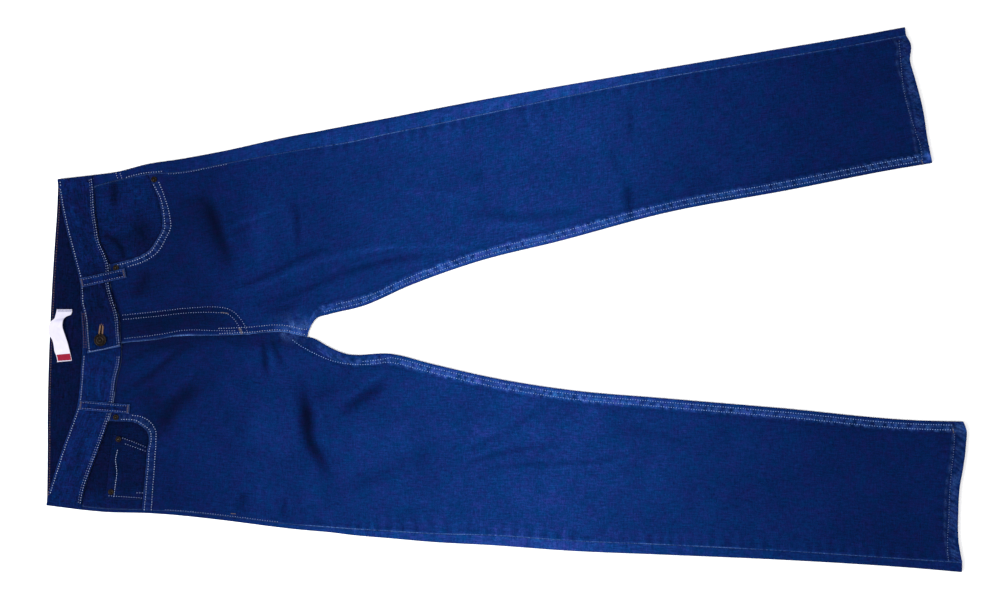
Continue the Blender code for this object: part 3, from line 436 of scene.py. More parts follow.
def front_top(side, x, y, from_seam=200.0, from_inner=200.0, crown=0.0, inner_edge=0.0, fold=FOLD_HEIGHT):
    top = support(side, x, y, from_seam, from_inner, crown, inner_edge, fold) + pocket_raise(side, x, y)
    return top + fly_raise(x, y) if side == "left" else top


# ---- Sheets ----
def row_shift(side, t, across, x, y):
    """Moves a section's points along the leg at the waist seam and the hem, whose lines are not straight."""
    at_waist = 1.0 - smooth(np.full(np.shape(x), t / 1.5))
    moved = at_waist * (waist_x(y) - x)
    hem = LEFT_HEM if side == "left" else RIGHT_HEM
    return x + moved + float(smooth((t - HEM_ROW + 1.0) / 0.7)) * read(hem, "across", "offset", across)

def lip_height(side, t, x, y):
    """Top of the back panel's lip at the outseam."""
    pocket = pocket_raise(side, x, y) * smooth((x + 452.0) / 22.0)
    return lift(x) + fold_height(t) + 0.85 * pocket


ROLL = np.radians([0.0, 45.0, 90.0, 135.0, 180.0])



# ---- Uneven fields ----
def field(x, y, size, seed):
    """Smooth unevenness, about -1 to 1, in blobs that many millimetres across."""
    lattice = np.random.RandomState(seed).uniform(-1.0, 1.0, (97, 97))
    u, v = np.broadcast_arrays(np.asarray(x, float) / size + 500.3, np.asarray(y, float) / size + 500.7)
    i, j = np.floor(u).astype(int), np.floor(v).astype(int)
    fu, fv = smooth(u - i), smooth(v - j)
    i, j = i % 97, j % 97
    k, m = (i + 1) % 97, (j + 1) % 97
    return (
        lattice[i, j] * (1 - fu) * (1 - fv) + lattice[k, j] * fu * (1 - fv)
        + lattice[i, m] * (1 - fu) * fv + lattice[k, m] * fu * fv
    )


def ripple(s, pitch, seed):
    """Puckers along a seam, about -1 to 1, uneven in spacing and depth."""
    s = np.asarray(s, float)
    wander = 0.75 * field(s, 0.0, pitch * 4.3, seed) + 0.3 * field(s, 0.0, pitch * 1.7, seed + 1)
    depth = 0.62 + 0.38 * field(s, 40.0, pitch * 2.6, seed + 2)
    return depth * np.sin(2 * np.pi * (s / pitch + wander))


def nearest_on(line, x, y):
    """Distance to an open line, the nearest point on it, and how far along it that is."""
    best = np.full(np.shape(x), 1e9)
    near_x, near_y, along = np.zeros_like(best), np.zeros_like(best), np.zeros_like(best)
    walked = 0.0
    for a, b in zip(line[:-1], line[1:]):
        d = b - a
        length = np.hypot(*d)
        f = np.clip(((x - a[0]) * d[0] + (y - a[1]) * d[1]) / (d @ d), 0.0, 1.0)
        px, py = a[0] + f * d[0], a[1] + f * d[1]
        gap = np.hypot(x - px, y - py)
        closer = gap < best
        best = np.where(closer, gap, best)
        near_x, near_y = np.where(closer, px, near_x), np.where(closer, py, near_y)
        along = np.where(closer, walked + f * length, along)
        walked += length
    return best, near_x, near_y, along


# ---- Shade of the cloth, the dye's fade with painted shade and painted light of folds: 1 is the middle of the legs ----
ALONG_TONE = table("x tone", [
    (-520.0, 0.42), (-457.0, 0.43), (-400.0, 0.45), (-365.0, 0.47), (-334.0, 0.55), (-303.0, 0.66), (-272.0, 0.69),
    (-242.0, 0.72), (-211.0, 0.78), (-180.0, 0.82), (-119.0, 0.90), (-57.0, 0.98), (35.0, 1.05), (97.0, 1.02),
    (127.0, 0.95), (158.0, 0.89), (189.0, 0.86), (220.0, 0.79), (250.0, 0.73), (312.0, 0.635), (374.0, 0.56),
    (435.0, 0.485), (528.0, 0.45), (560.0, 0.44),
])
# Creases and soft folds, each as a line read off the flat view in its units: points, half-width, change of shade
# and height in mm. Dark ones are troughs and light ones ridges; they fade towards their ends. The change of shade
# is painted shade in the troughs and painted light on the ridges, partly also the dye's fade along the creases.
LEFT_STROKES = [
    ([(201, 191), (206, 203), (213, 219), (220, 238), (227, 258), (229, 270)], 7.0, -0.50, -1.2),
    ([(209, 206), (214, 222), (219, 236)], 5.0, -0.22, -0.5),
    ([(213, 190), (221, 209), (229, 232), (235, 256)], 5.0, 0.10, 0.9),
    ([(184, 203), (199, 201)], 6.0, -0.16, -0.4),
    ([(222, 233), (238, 224), (256, 217.5), (272, 210), (286, 204)], 1.8, 0.26, 0.7),
    ([(224, 238), (242, 229), (260, 222)], 2.2, -0.12, -0.4),
    ([(294, 200), (297, 215), (298.5, 232), (298, 250)], 3.2, -0.26, -0.9),
    ([(286, 205), (289, 225), (290, 246)], 4.0, 0.10, 0.6),
    ([(258, 214), (262, 235), (262, 262)], 11.0, 0.16, 1.0),
    ([(229, 288), (249, 283), (268, 275), (283, 267), (297, 259.5), (315, 252.5), (334, 247)], 3.0, -0.30, -1.1),
    ([(226, 296), (245, 291), (264, 285), (283, 276.5), (301, 268.5), (325, 260), (350, 254), (383, 248.5), (415, 247), (448, 246)], 3.4, 0.22, 1.1),
    ([(252, 305), (275, 299.5), (297, 293), (315, 285), (333, 277), (350, 271), (367, 266.5), (388, 261), (410, 257.5), (440, 257)], 3.4, -0.32, -1.2),
    ([(305, 287), (329, 278), (352, 270)], 2.0, 0.14, 0.5),
    ([(262, 312), (284, 308), (305, 300)], 5.0, -0.20, -0.6),
    ([(352, 262), (380, 253), (410, 250)], 2.0, -0.14, -0.5),
    ([(137, 294), (143, 284), (146, 276)], 6.0, -0.36, -0.7),
    ([(128, 300), (140, 298)], 3.0, 0.14, 0.5),
    ([(150, 306), (175, 302), (205, 299)], 6.0, -0.14, -0.4),
    ([(168, 214), (186, 216), (205, 212)], 7.0, -0.10, -0.3),
    ([(180, 240), (200, 250), (215, 262)], 6.0, 0.07, 0.4),
    ([(400, 191), (430, 193), (460, 198), (480, 203)], 3.0, 0.10, 0.5),
    ([(436, 245.5), (455, 247), (475, 250)], 2.4, 0.14, 0.5),
    ([(462, 212), (490, 214), (520, 217), (545, 216), (575, 210), (606, 202)], 5.0, -0.17, -0.8),
    ([(470, 223), (500, 226), (535, 224)], 3.5, 0.10, 0.6),
    ([(628, 102), (630, 116), (631.5, 142)], 3.6, -0.18, -0.8),
    ([(627, 182), (629, 199), (630.5, 216)], 4.6, -0.34, -1.3),
    ([(618, 188), (619, 206)], 4.0, 0.10, 0.8),
    ([(613, 152), (616, 168)], 3.0, -0.15, -0.6),
    ([(653, 106), (664, 108), (676, 110)], 2.4, -0.13, -0.5),
    ([(520, 106), (524, 118), (526, 134)], 2.0, -0.12, -0.6),
    ([(543, 104), (545, 118), (545, 134)], 2.0, -0.12, -0.6),
    ([(680, 196), (700, 184), (722, 178)], 5.0, -0.14, -0.7),
    ([(590, 130), (600, 150), (604, 170)], 8.0, 0.07, 0.5),
    ([(700, 140), (712, 160)], 9.0, 0.06, 0.5),
    ([(746, 180), (790, 172), (830, 164)], 6.0, -0.08, -0.5),
    ([(560, 205), (580, 207), (606, 212)], 5.0, 0.14, 0.6),
]
# mostly the dye's fade in patches; the dark blobs in fold troughs and the thin dark ones along the crotch's edges are
# painted shade
LEFT_BLOBS = [  # x, y, half-lengths along and across, turn, change
    (480.5, 177.5, 8.0, 6.0, -20.0, -0.20), (214.0, 224.0, 9.0, 22.0, -20.0, -0.12), (240.0, 236.0, 9.0, 12.0, 0.0, -0.06),
    (888.0, 74.0, 8.0, 12.0, 0.0, -0.12), (282.0, 312.0, 16.0, 10.0, 0.0, -0.16), (176.0, 270.0, 22.0, 22.0, 0.0, -0.08),
    (340.0, 215.0, 26.0, 14.0, 10.0, 0.05), (430.0, 150.0, 30.0, 20.0, 0.0, 0.04), (150.0, 288.0, 16.0, 14.0, 0.0, -0.15),
    (190.0, 225.0, 40.0, 50.0, 0.0, -0.16), (320.0, 230.0, 50.0, 44.0, 0.0, -0.10), (928.5, 157.0, 4.0, 7.0, 0.0, 0.80), (268.0, 331.0, 18.0, 2.6, 0.0, -0.35),
    (311.0, 325.0, 5.0, 10.0, 30.0, 0.30),
]
RIGHT_STROKES = [
    ([(153, 437), (158, 430), (166, 418), (175, 406), (188, 394), (204, 383)], 9.5, -0.50, -1.2),
    ([(140, 404), (150, 395), (160, 390)], 7.0, -0.26, -0.7),
    ([(150, 414), (160, 404)], 7.0, -0.25, -0.4),
    ([(126, 392), (144, 380), (161, 367), (178, 352), (203, 342)], 4.0, -0.34, -1.0),
    ([(122, 364), (144, 352), (170, 345), (200, 341)], 4.0, -0.28, -0.6),
    ([(130, 383), (148, 370), (164, 358), (176, 347)], 2.8, 0.12, 0.6),
    ([(150, 402), (166, 392), (184, 378), (200, 366)], 4.0, 0.10, 0.7),
    ([(262.5, 339), (264, 350), (265.5, 362), (265.8, 374)], 3.0, -0.40, -1.0),
    ([(270.5, 337), (274, 346), (278.5, 355), (283, 366)], 2.6, -0.36, -0.9),
    ([(269, 350), (271.5, 362), (273, 374)], 2.2, 0.18, 0.7),
    ([(301, 386), (303.5, 396), (306, 410), (307.5, 424), (309, 438), (313, 448), (319, 457), (327, 475)], 6.6, -0.62, -1.5),
    ([(305, 404), (307, 418), (308.5, 432)], 7.5, -0.30, -0.5),
    ([(318, 397), (326, 392), (333, 389)], 5.0, -0.20, -0.5),
    ([(319, 404), (322, 420), (325, 436), (330, 450)], 4.0, 0.10, 1.0),
    ([(295, 404), (296, 424), (299, 444)], 4.0, 0.08, 0.7),
    ([(340, 414), (353, 405), (367, 396), (378, 388), (388, 378)], 5.6, -0.40, -1.2),
    ([(345, 400), (358, 391), (371, 381), (384, 372)], 2.4, 0.18, 0.8),
    ([(333, 491), (352, 486), (374, 478), (392, 470), (407, 462), (433, 451)], 7.5, -0.15, -0.8),
    ([(421, 450), (423, 462)], 9.0, -0.12, -0.5),
    ([(461, 452), (471.8, 449.7), (486, 442), (500.5, 435.4), (515, 426), (529, 417.4), (545, 409), (562, 403)], 2.8, -0.15, -0.7),
    ([(458, 468), (472, 462), (486, 457), (500, 453), (518.4, 449.7), (551, 446)], 2.4, -0.20, -0.8),
    ([(463, 464), (486, 452.5), (510, 446.5)], 2.0, 0.08, 0.5),
    ([(482, 472), (495, 468), (508, 466), (525, 464.5), (543.6, 464), (575, 463.5), (601, 462), (631, 454)], 2.4, -0.18, -0.8),
    ([(555, 468), (580, 466), (604, 465), (634, 457)], 2.0, 0.13, 0.6),
    ([(466, 446), (480, 438), (494, 428), (510, 418)], 2.0, 0.10, 0.5),
    ([(612, 424), (640, 431), (668, 438), (706, 447)], 5.0, -0.11, -0.7),
    ([(664, 412), (690, 415), (714, 420)], 7.0, 0.07, 0.6),
    ([(690, 488), (692, 506)], 6.0, -0.07, -0.5),
    ([(228, 380), (236, 398)], 8.0, 0.09, 0.6),
    ([(242, 506), (243.5, 496)], 4.0, -0.34, -0.8),
    ([(284, 512), (285, 500)], 2.4, -0.28, -0.8),
    ([(258, 498), (260, 486)], 2.5, 0.14, 0.5),
    ([(272, 507), (270, 492)], 2.5, 0.12, 0.5),
    ([(790, 460), (830, 470), (870, 476)], 8.0, -0.06, -0.6),
    ([(740, 520), (790, 516), (840, 512)], 7.0, 0.05, 0.5),
    ([(300, 470), (312, 492), (318, 512)], 8.0, 0.06, 0.5),
    ([(380, 440), (400, 430), (420, 416)], 6.0, 0.08, 0.6),
]
RIGHT_BLOBS = [
    (255.0, 428.0, 18.0, 18.0, 0.0, 0.17), (283.0, 436.0, 14.0, 26.0, 0.0, 0.16), (243.0, 424.0, 6.0, 14.0, -20.0, -0.16),
    (282.0, 345.0, 16.0, 10.0, 0.0, -0.16), (150.0, 345.0, 40.0, 9.0, 8.0, -0.18), (145.0, 430.0, 8.0, 10.0, 0.0, -0.2),
    (536.0, 437.0, 12.0, 6.0, 10.0, 0.12), (475.0, 432.0, 8.0, 8.0, 0.0, 0.09), (525.0, 399.0, 14.0, 5.0, 5.0, 0.12),
    (594.0, 410.0, 10.0, 7.0, -10.0, 0.14), (350.0, 440.0, 22.0, 26.0, 0.0, 0.05), (205.0, 462.0, 36.0, 44.0, 0.0, 0.20), (190.0, 420.0, 24.0, 30.0, 0.0, 0.10),
    (352.0, 358.5, 26.0, 3.6, 0.0, -0.28), (306.0, 343.0, 12.0, 3.0, 38.0, 0.22), (350.0, 380.0, 44.0, 26.0, 0.0, -0.12),
]


def stroked(strokes, x, y):
    """How strokes lift the cloth, and how they change its colour: painted shade in troughs and painted light on ridges.
    """
    height, change = np.zeros(np.shape(x)), np.ones(np.shape(x))
    for points, width, by, lift_by in strokes:
        line = in_view(points)
        line = curve_points(line, 24) if len(line) > 2 else line
        gap, _, _, along = nearest_on(line, x, y)
        length = np.hypot(*np.diff(line, axis=0).T).sum()
        fade = np.clip(np.minimum(along, length - along) / (0.32 * length) + 0.12, 0.0, 1.0) ** 0.8 if length > 26.0 else 1.0
        width = width * VIEW_MM
        change = change * (1.0 + max(1.18 * by, -0.74) * fade * np.exp(-((gap / width) ** 2)))
        height = height + lift_by * fade * np.exp(-((gap / (1.15 * width)) ** 2))
    return height, change


def dye_and_painted_shade(side, x, y):
    """The cloth's shade at a point of a leg: the dye's fade, with some blobs of painted shade in fold troughs and along
    the crotch's edges.
    """
    tone = read(ALONG_TONE, "x", "tone", x)
    for cx, cy, along, across, turn, change in LEFT_BLOBS if side == "left" else RIGHT_BLOBS:
        turn = np.radians(turn)
        dx, dy = (x / VIEW_MM + 506.5) - cx, (299.7 - y / VIEW_MM) - cy
        u = dx * np.cos(turn) - dy * np.sin(turn)
        v = dy * np.cos(turn) + dx * np.sin(turn)
        tone = tone * (1.0 + change * np.exp(-((u / along) ** 2) - ((v / across) ** 2)))
    seed = 11 if side == "left" else 23
    tone = tone * (1.0 + (0.04 if side == "right" else -0.05) * smooth((x - 120.0) / 80.0))
    return tone * (1.0 + 0.05 * field(x, y, 62.0, seed) + 0.05 * field(x, y, 21.0, seed + 1) + 0.03 * field(x, y, 8.0, seed + 2))


# ---- Rows of a leg, evenly spaced along it ----
def lengths(side):
    leg = LEFT_LEG if side == "left" else RIGHT_LEG
    t = np.linspace(0.0, HEM_ROW, 681)
    at = np.array([section(leg, v) for v in t])
    seam = np.concatenate([[0.0], np.cumsum(np.hypot(*np.diff(at[:, 2:4], axis=0).T))])
    inner = np.concatenate([[0.0], np.cumsum(np.hypot(*np.diff(at[:, 4:6], axis=0).T))])
    return t, seam, inner


LENGTHS = {side: lengths(side) for side in ("left", "right")}


def even_rows(side, start, stop, spacing):
    t, seam, inner = LENGTHS[side]
    middle = (seam + inner) / 2
    low, high = np.interp([start, stop], t, middle)
    return np.interp(np.linspace(low, high, int((high - low) / spacing) + 2), middle, t)


NEAR_EDGE = np.array([0.0, 0.5, 1.2, 2.1, 3.2, 4.5, 6.0, 7.7, 9.6, 11.0, 12.6, 15.0])
TURN = np.radians(np.linspace(0.0, 90.0, 7))
VIEW_MM = 1.231


def in_view(points):
    """Points read off the flat view, at 1.231 mm a unit, in the row's frame."""
    points = np.asarray(points, float)
    return np.column_stack([(points[:, 0] - 506.5) * VIEW_MM, (299.7 - points[:, 1]) * VIEW_MM])


def front_line(side, t, middle=60):
    """One dense row of the front panel's outer face, and where its points are on the panel."""
    leg = LEFT_LEG if side == "left" else RIGHT_LEG
    _, _, seam_x, seam_y, inner_x, inner_y, _ = section(leg, t)
    seam, inner = np.array([seam_x, seam_y]), np.array([inner_x, inner_y])
    leg_share = rise_to_leg(t)
    across = (inner - seam) / np.linalg.norm(inner - seam)
    start = seam + across * GAP / 2
    end = inner - across * GAP / 2 * (1.0 - leg_share)
    if side == "right":
        end = end + across * (FLY_OVERLAP + GAP) * (1.0 - float(smooth((t - 3.1) / 0.8)))
    reach = np.linalg.norm(end - start)
    radius = fold_height(t) / 2
    stop = reach - radius
    flat = np.concatenate([NEAR_EDGE, np.linspace(15.0, stop - 15.0, middle + 2)[1:-1], stop - NEAR_EDGE[::-1]])
    along = np.concatenate([flat, reach - radius * (1.0 - np.sin(TURN[1:]))])
    fraction = along / reach
    x, y = start[0] + across[0] * along, start[1] + across[1] * along
    x = row_shift(side, t, fraction, x, y)
    if t == 0.0:
        x = waist_x(y) + WAIST_GAP
    from_inner = np.maximum(stop - along, 0.0)
    crown = crown_of(t) * np.sin(np.pi * np.clip(fraction, 0.0, 1.0)) ** 2
    z = front_top(side, x, y, along, from_inner, crown, leg_share, fold_height(t)) + hem_raise(t) * (
        1.0 - np.exp(-((along / 14.0) ** 2))
    ) * (1.0 - leg_share * np.exp(-((from_inner / 10.0) ** 2)))
    base, top = lift(x[-1]), z[len(flat) - 1]
    centre = (base + top) / 2 + rim_gap(t)
    drop = np.concatenate([np.zeros(len(flat)), (top - centre) * (1.0 - np.cos(TURN[1:]))])
    z = np.where(np.arange(len(z)) < len(flat), z, z * (1 - leg_share) + leg_share * top) - leg_share * drop
    return x, y, z, along, reach - along


def back_line(side, t, lips=5, rolls=13, middle=62):
    """One dense row of the back panel's outer face: lip, roll, underside, inner boundary."""
    leg = LEFT_LEG if side == "left" else RIGHT_LEG
    edge_x, edge_y, seam_x, seam_y, inner_x, inner_y, back_x = section(leg, t)
    leg_share = rise_to_leg(t)
    edge, seam = np.array([edge_x, edge_y]), np.array([seam_x, seam_y])
    across = (seam - edge) / np.linalg.norm(seam - edge)
    seam = seam - across * GAP / 2
    radius = min(fold_height(t) / 2, 0.8 * np.linalg.norm(seam - edge))
    low = float(lift(edge_x))
    high = float(lip_height(side, t, seam[0], seam[1]))
    centre = (low + high) / 2
    lip = np.linspace(seam, edge + across * radius, lips)[:-1]
    angle = np.linspace(0.0, np.pi, rolls)
    roll = edge + across * radius * (1.0 - np.sin(angle))[:, None]
    roll_z = centre + (high - centre) * np.cos(angle)
    if t <= FORK_ROW:
        centre_y = LEFT_LEG["inner_y"][6] + (t - FORK_ROW) * -0.6
        toward = 1.0 if side == "left" else -1.0
        inner = np.array([back_x, centre_y + toward * GAP / 2])
    else:
        inner = np.array([inner_x, inner_y])
    path = inner - roll[-1]
    reach = np.linalg.norm(path)
    path = path / reach
    end_radius = fold_height(t) / 2
    stop = reach - end_radius
    flat = np.concatenate([[3.0, 8.0], np.linspace(14.0, stop - 12.0, middle), [stop - 6.0, stop - 2.5, stop]])
    curl = reach - end_radius * (1.0 - np.sin(TURN[1:]))
    under = roll[-1] + np.concatenate([flat, curl])[:, None] * path
    under_z = lift(under[:, 0])
    top_middle = (low + fold_height(t)) / 2 - rim_gap(t)
    under_z[-6:] += leg_share * (top_middle - lift(inner[0])) * (1.0 - np.cos(TURN[1:]))
    x = np.concatenate([lip[:, 0], roll[:, 0], under[:, 0]])
    y = np.concatenate([lip[:, 1], roll[:, 1], under[:, 1]])
    z = np.concatenate([np.full(lips - 1, high), roll_z, under_z])
    hem = LEFT_HEM if side == "left" else RIGHT_HEM
    share = np.clip((y - seam_y) / (inner[1] - seam_y), 0.0, 1.0)
    x = x + float(smooth((t - HEM_ROW + 1.0) / 0.7)) * read(hem, "across", "offset", share)
    walked = np.concatenate([[0.0], np.cumsum(np.hypot(np.hypot(np.diff(x), np.diff(y)), np.diff(z)))])
    return x, y, z, walked, walked[-1] - walked


# ---- Making meshes ----
SURFACE = {}  # each sheet's outer face, to sew on


def attribute(mesh, name, values):
    values = np.asarray(values, np.float32)
    kind = "FLOAT_VECTOR" if values.ndim == 2 else "FLOAT"
    made = mesh.attributes.new(name, kind, "POINT")
    made.data.foreach_set("vector" if kind == "FLOAT_VECTOR" else "value", values.ravel())


def make_mesh(name, points, faces, smooth_shade=True):
    """A mesh from millimetre points, set where the solids are."""
    mesh = bpy.data.meshes.new(name)
    points = np.asarray(points, float) + np.array([SHIFT_X, SHIFT_Y, 0.0])
    mesh.from_pydata((points * MM).tolist(), [], [list(map(int, f)) for f in faces])
    mesh.update()
    if smooth_shade:
        mesh.polygons.foreach_set("use_smooth", np.ones(len(mesh.polygons), bool))
    return mesh


def add_object(name, mesh, material, nodes=()):
    obj = bpy.data.objects.new(name, mesh)
    bpy.context.scene.collection.objects.link(obj)
    for one in material if isinstance(material, (list, tuple)) else [material]:
        mesh.materials.append(one)
    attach(obj, SEEN)
    if nodes:
        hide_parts(*nodes)
    return obj


def cloth_piece(name, node, grid, wall, material, cloth, tone, wear=None, cut_line=None, shares=None,
                flip=False, bevel=0.3, lining=None):
    """A sheet of cloth from a grid of its outer face, with its thickness on the inner side.

    cut_line is a signed distance for each point: the mesh ends on its zero line.
    """
    rows, columns = grid.shape[:2]
    points = grid.reshape(-1, 3).copy()
    index = np.arange(rows * columns).reshape(rows, columns)
    quads = np.stack([index[:-1, :-1], index[:-1, 1:], index[1:, 1:], index[1:, :-1]], axis=-1).reshape(-1, 4)
    faces = quads
    if cut_line is not None:
        signed, near_x, near_y = (v.reshape(-1).copy() for v in cut_line)
        on_line = np.zeros(len(points), bool)
        pairs = np.concatenate([np.stack([index[:-1].ravel(), index[1:].ravel()], 1), np.stack([index[:, :-1].ravel(), index[:, 1:].ravel()], 1)])
        crossing = pairs[signed[pairs[:, 0]] * signed[pairs[:, 1]] < 0]
        first = np.abs(signed[crossing[:, 0]]) < np.abs(signed[crossing[:, 1]])
        on_line[np.where(first, crossing[:, 0], crossing[:, 1])] = True
        points[on_line, 0], points[on_line, 1] = near_x[on_line], near_y[on_line]
        signed[on_line] = 0.0
        corner = signed[quads]
        keep = (corner.min(axis=1) >= 0) & (corner.max(axis=1) > 0)
        mixed = quads[(corner.min(axis=1) < 0) & (corner.max(axis=1) > 0)]
        faces = quads[keep].tolist()
        for quad in mixed:
            kept = [v for v in quad if signed[v] >= 0]
            if len(kept) == 3:
                faces.append(kept)
    if flip:
        faces = [list(f)[::-1] for f in faces]
    used = np.unique(np.concatenate([np.asarray(f) for f in faces]) if cut_line is not None else np.arange(len(points)))
    renumber = np.full(len(points), -1)
    renumber[used] = np.arange(len(used))
    faces = [[int(renumber[v]) for v in f] for f in faces]
    points = points[used]
    mesh = make_mesh(name, points, faces)
    attribute(mesh, "cloth", np.asarray(cloth).reshape(-1, 3)[used] * MM)
    attribute(mesh, "tone", np.asarray(tone).reshape(-1)[used])
    # on the label the wear attribute holds painted shade instead of wear
    attribute(mesh, "wear", np.zeros(len(used)) if wear is None else np.clip(np.asarray(wear).reshape(-1)[used], 0.0, 1.0))
    obj = add_object(name, mesh, [material, lining] if lining else material, [node] if node else ())
    SURFACE[name] = BVHTree.FromPolygons(points.tolist(), faces)
    thick = obj.modifiers.new("thickness", "SOLIDIFY")
    thick.thickness = wall * MM
    thick.offset = -1.0
    if lining:
        thick.material_offset = 1
        thick.material_offset_rim = 0
    if shares is not None:
        group = obj.vertex_groups.new(name="thickness")
        values = np.round(np.asarray(shares).reshape(-1)[used], 2)
        for value in np.unique(values):
            group.add(np.nonzero(values == value)[0].tolist(), float(value), "REPLACE")
        thick.vertex_group = "thickness"
    if bevel:
        round_off = obj.modifiers.new("rounded_edge", "BEVEL")
        round_off.width = bevel * MM
        round_off.segments = 2
        round_off.limit_method = "ANGLE"
        round_off.angle_limit = np.radians(55.0)
        round_off.use_clamp_overlap = True
    return obj


# ---- Materials ----
LIGHT = 1.70  # what a white surface facing up shows, so that shades come out as named


def shade(red, green, blue, gain=None):
    """A shade named by how it looks in the flat view, as a linear colour of the surface."""
    c = np.array([red, green, blue], float) / 255.0
    c = np.where(c <= 0.04045, c / 12.92, ((c + 0.055) / 1.055) ** 2.4)
    return (*(np.minimum(c / (LIGHT if gain is None else gain), 0.95)), 1.0)


class Tree:
    """A short way to write a node tree."""

    def __init__(self, name):
        self.material = bpy.data.materials.new(name)
        self.material.use_nodes = True
        self.tree = self.material.node_tree
        self.shader = self.tree.nodes["Principled BSDF"]

    def node(self, kind, inputs=(), **settings):
        made = self.tree.nodes.new("ShaderNode" + kind)
        for key, value in settings.items():
            setattr(made, key, value)
        for key, value in dict(inputs).items():
            self.put(made.inputs[key], value)
        return made

    def put(self, socket, value):
        if isinstance(value, bpy.types.NodeSocket):
            self.tree.links.new(value, socket)
        else:
            socket.default_value = value

    def math(self, operation, a, b=0.0, c=0.0, clamp=False):
        made = self.node("Math", {0: a, 1: b, 2: c}, operation=operation, use_clamp=clamp)
        return made.outputs[0]

    def mix(self, factor, a, b, blend="MIX"):
        made = self.node("Mix", data_type="RGBA", blend_type=blend)
        self.put(made.inputs["Factor"], factor)
        self.put(made.inputs["A"], a)
        self.put(made.inputs["B"], b)
        return made.outputs["Result"]

    def noise(self, vector, scale, detail=2.0, rough=0.5, mapping=None):
        if mapping is not None:
            vector = self.node("Mapping", {"Vector": vector, "Scale": mapping}).outputs[0]
        made = self.node("TexNoise", {"Vector": vector, "Scale": scale, "Detail": detail, "Roughness": rough})
        return made.outputs[0]

    def ramp(self, factor, stops):
        made = self.node("ValToRGB", {"Fac": factor})
        band = made.color_ramp
        while len(band.elements) < len(stops):
            band.elements.new(0.5)
        for element, (position, colour) in zip(band.elements, stops):
            element.position = position
            element.color = colour
        return made.outputs[0]


TONE_SPAN = 3.2


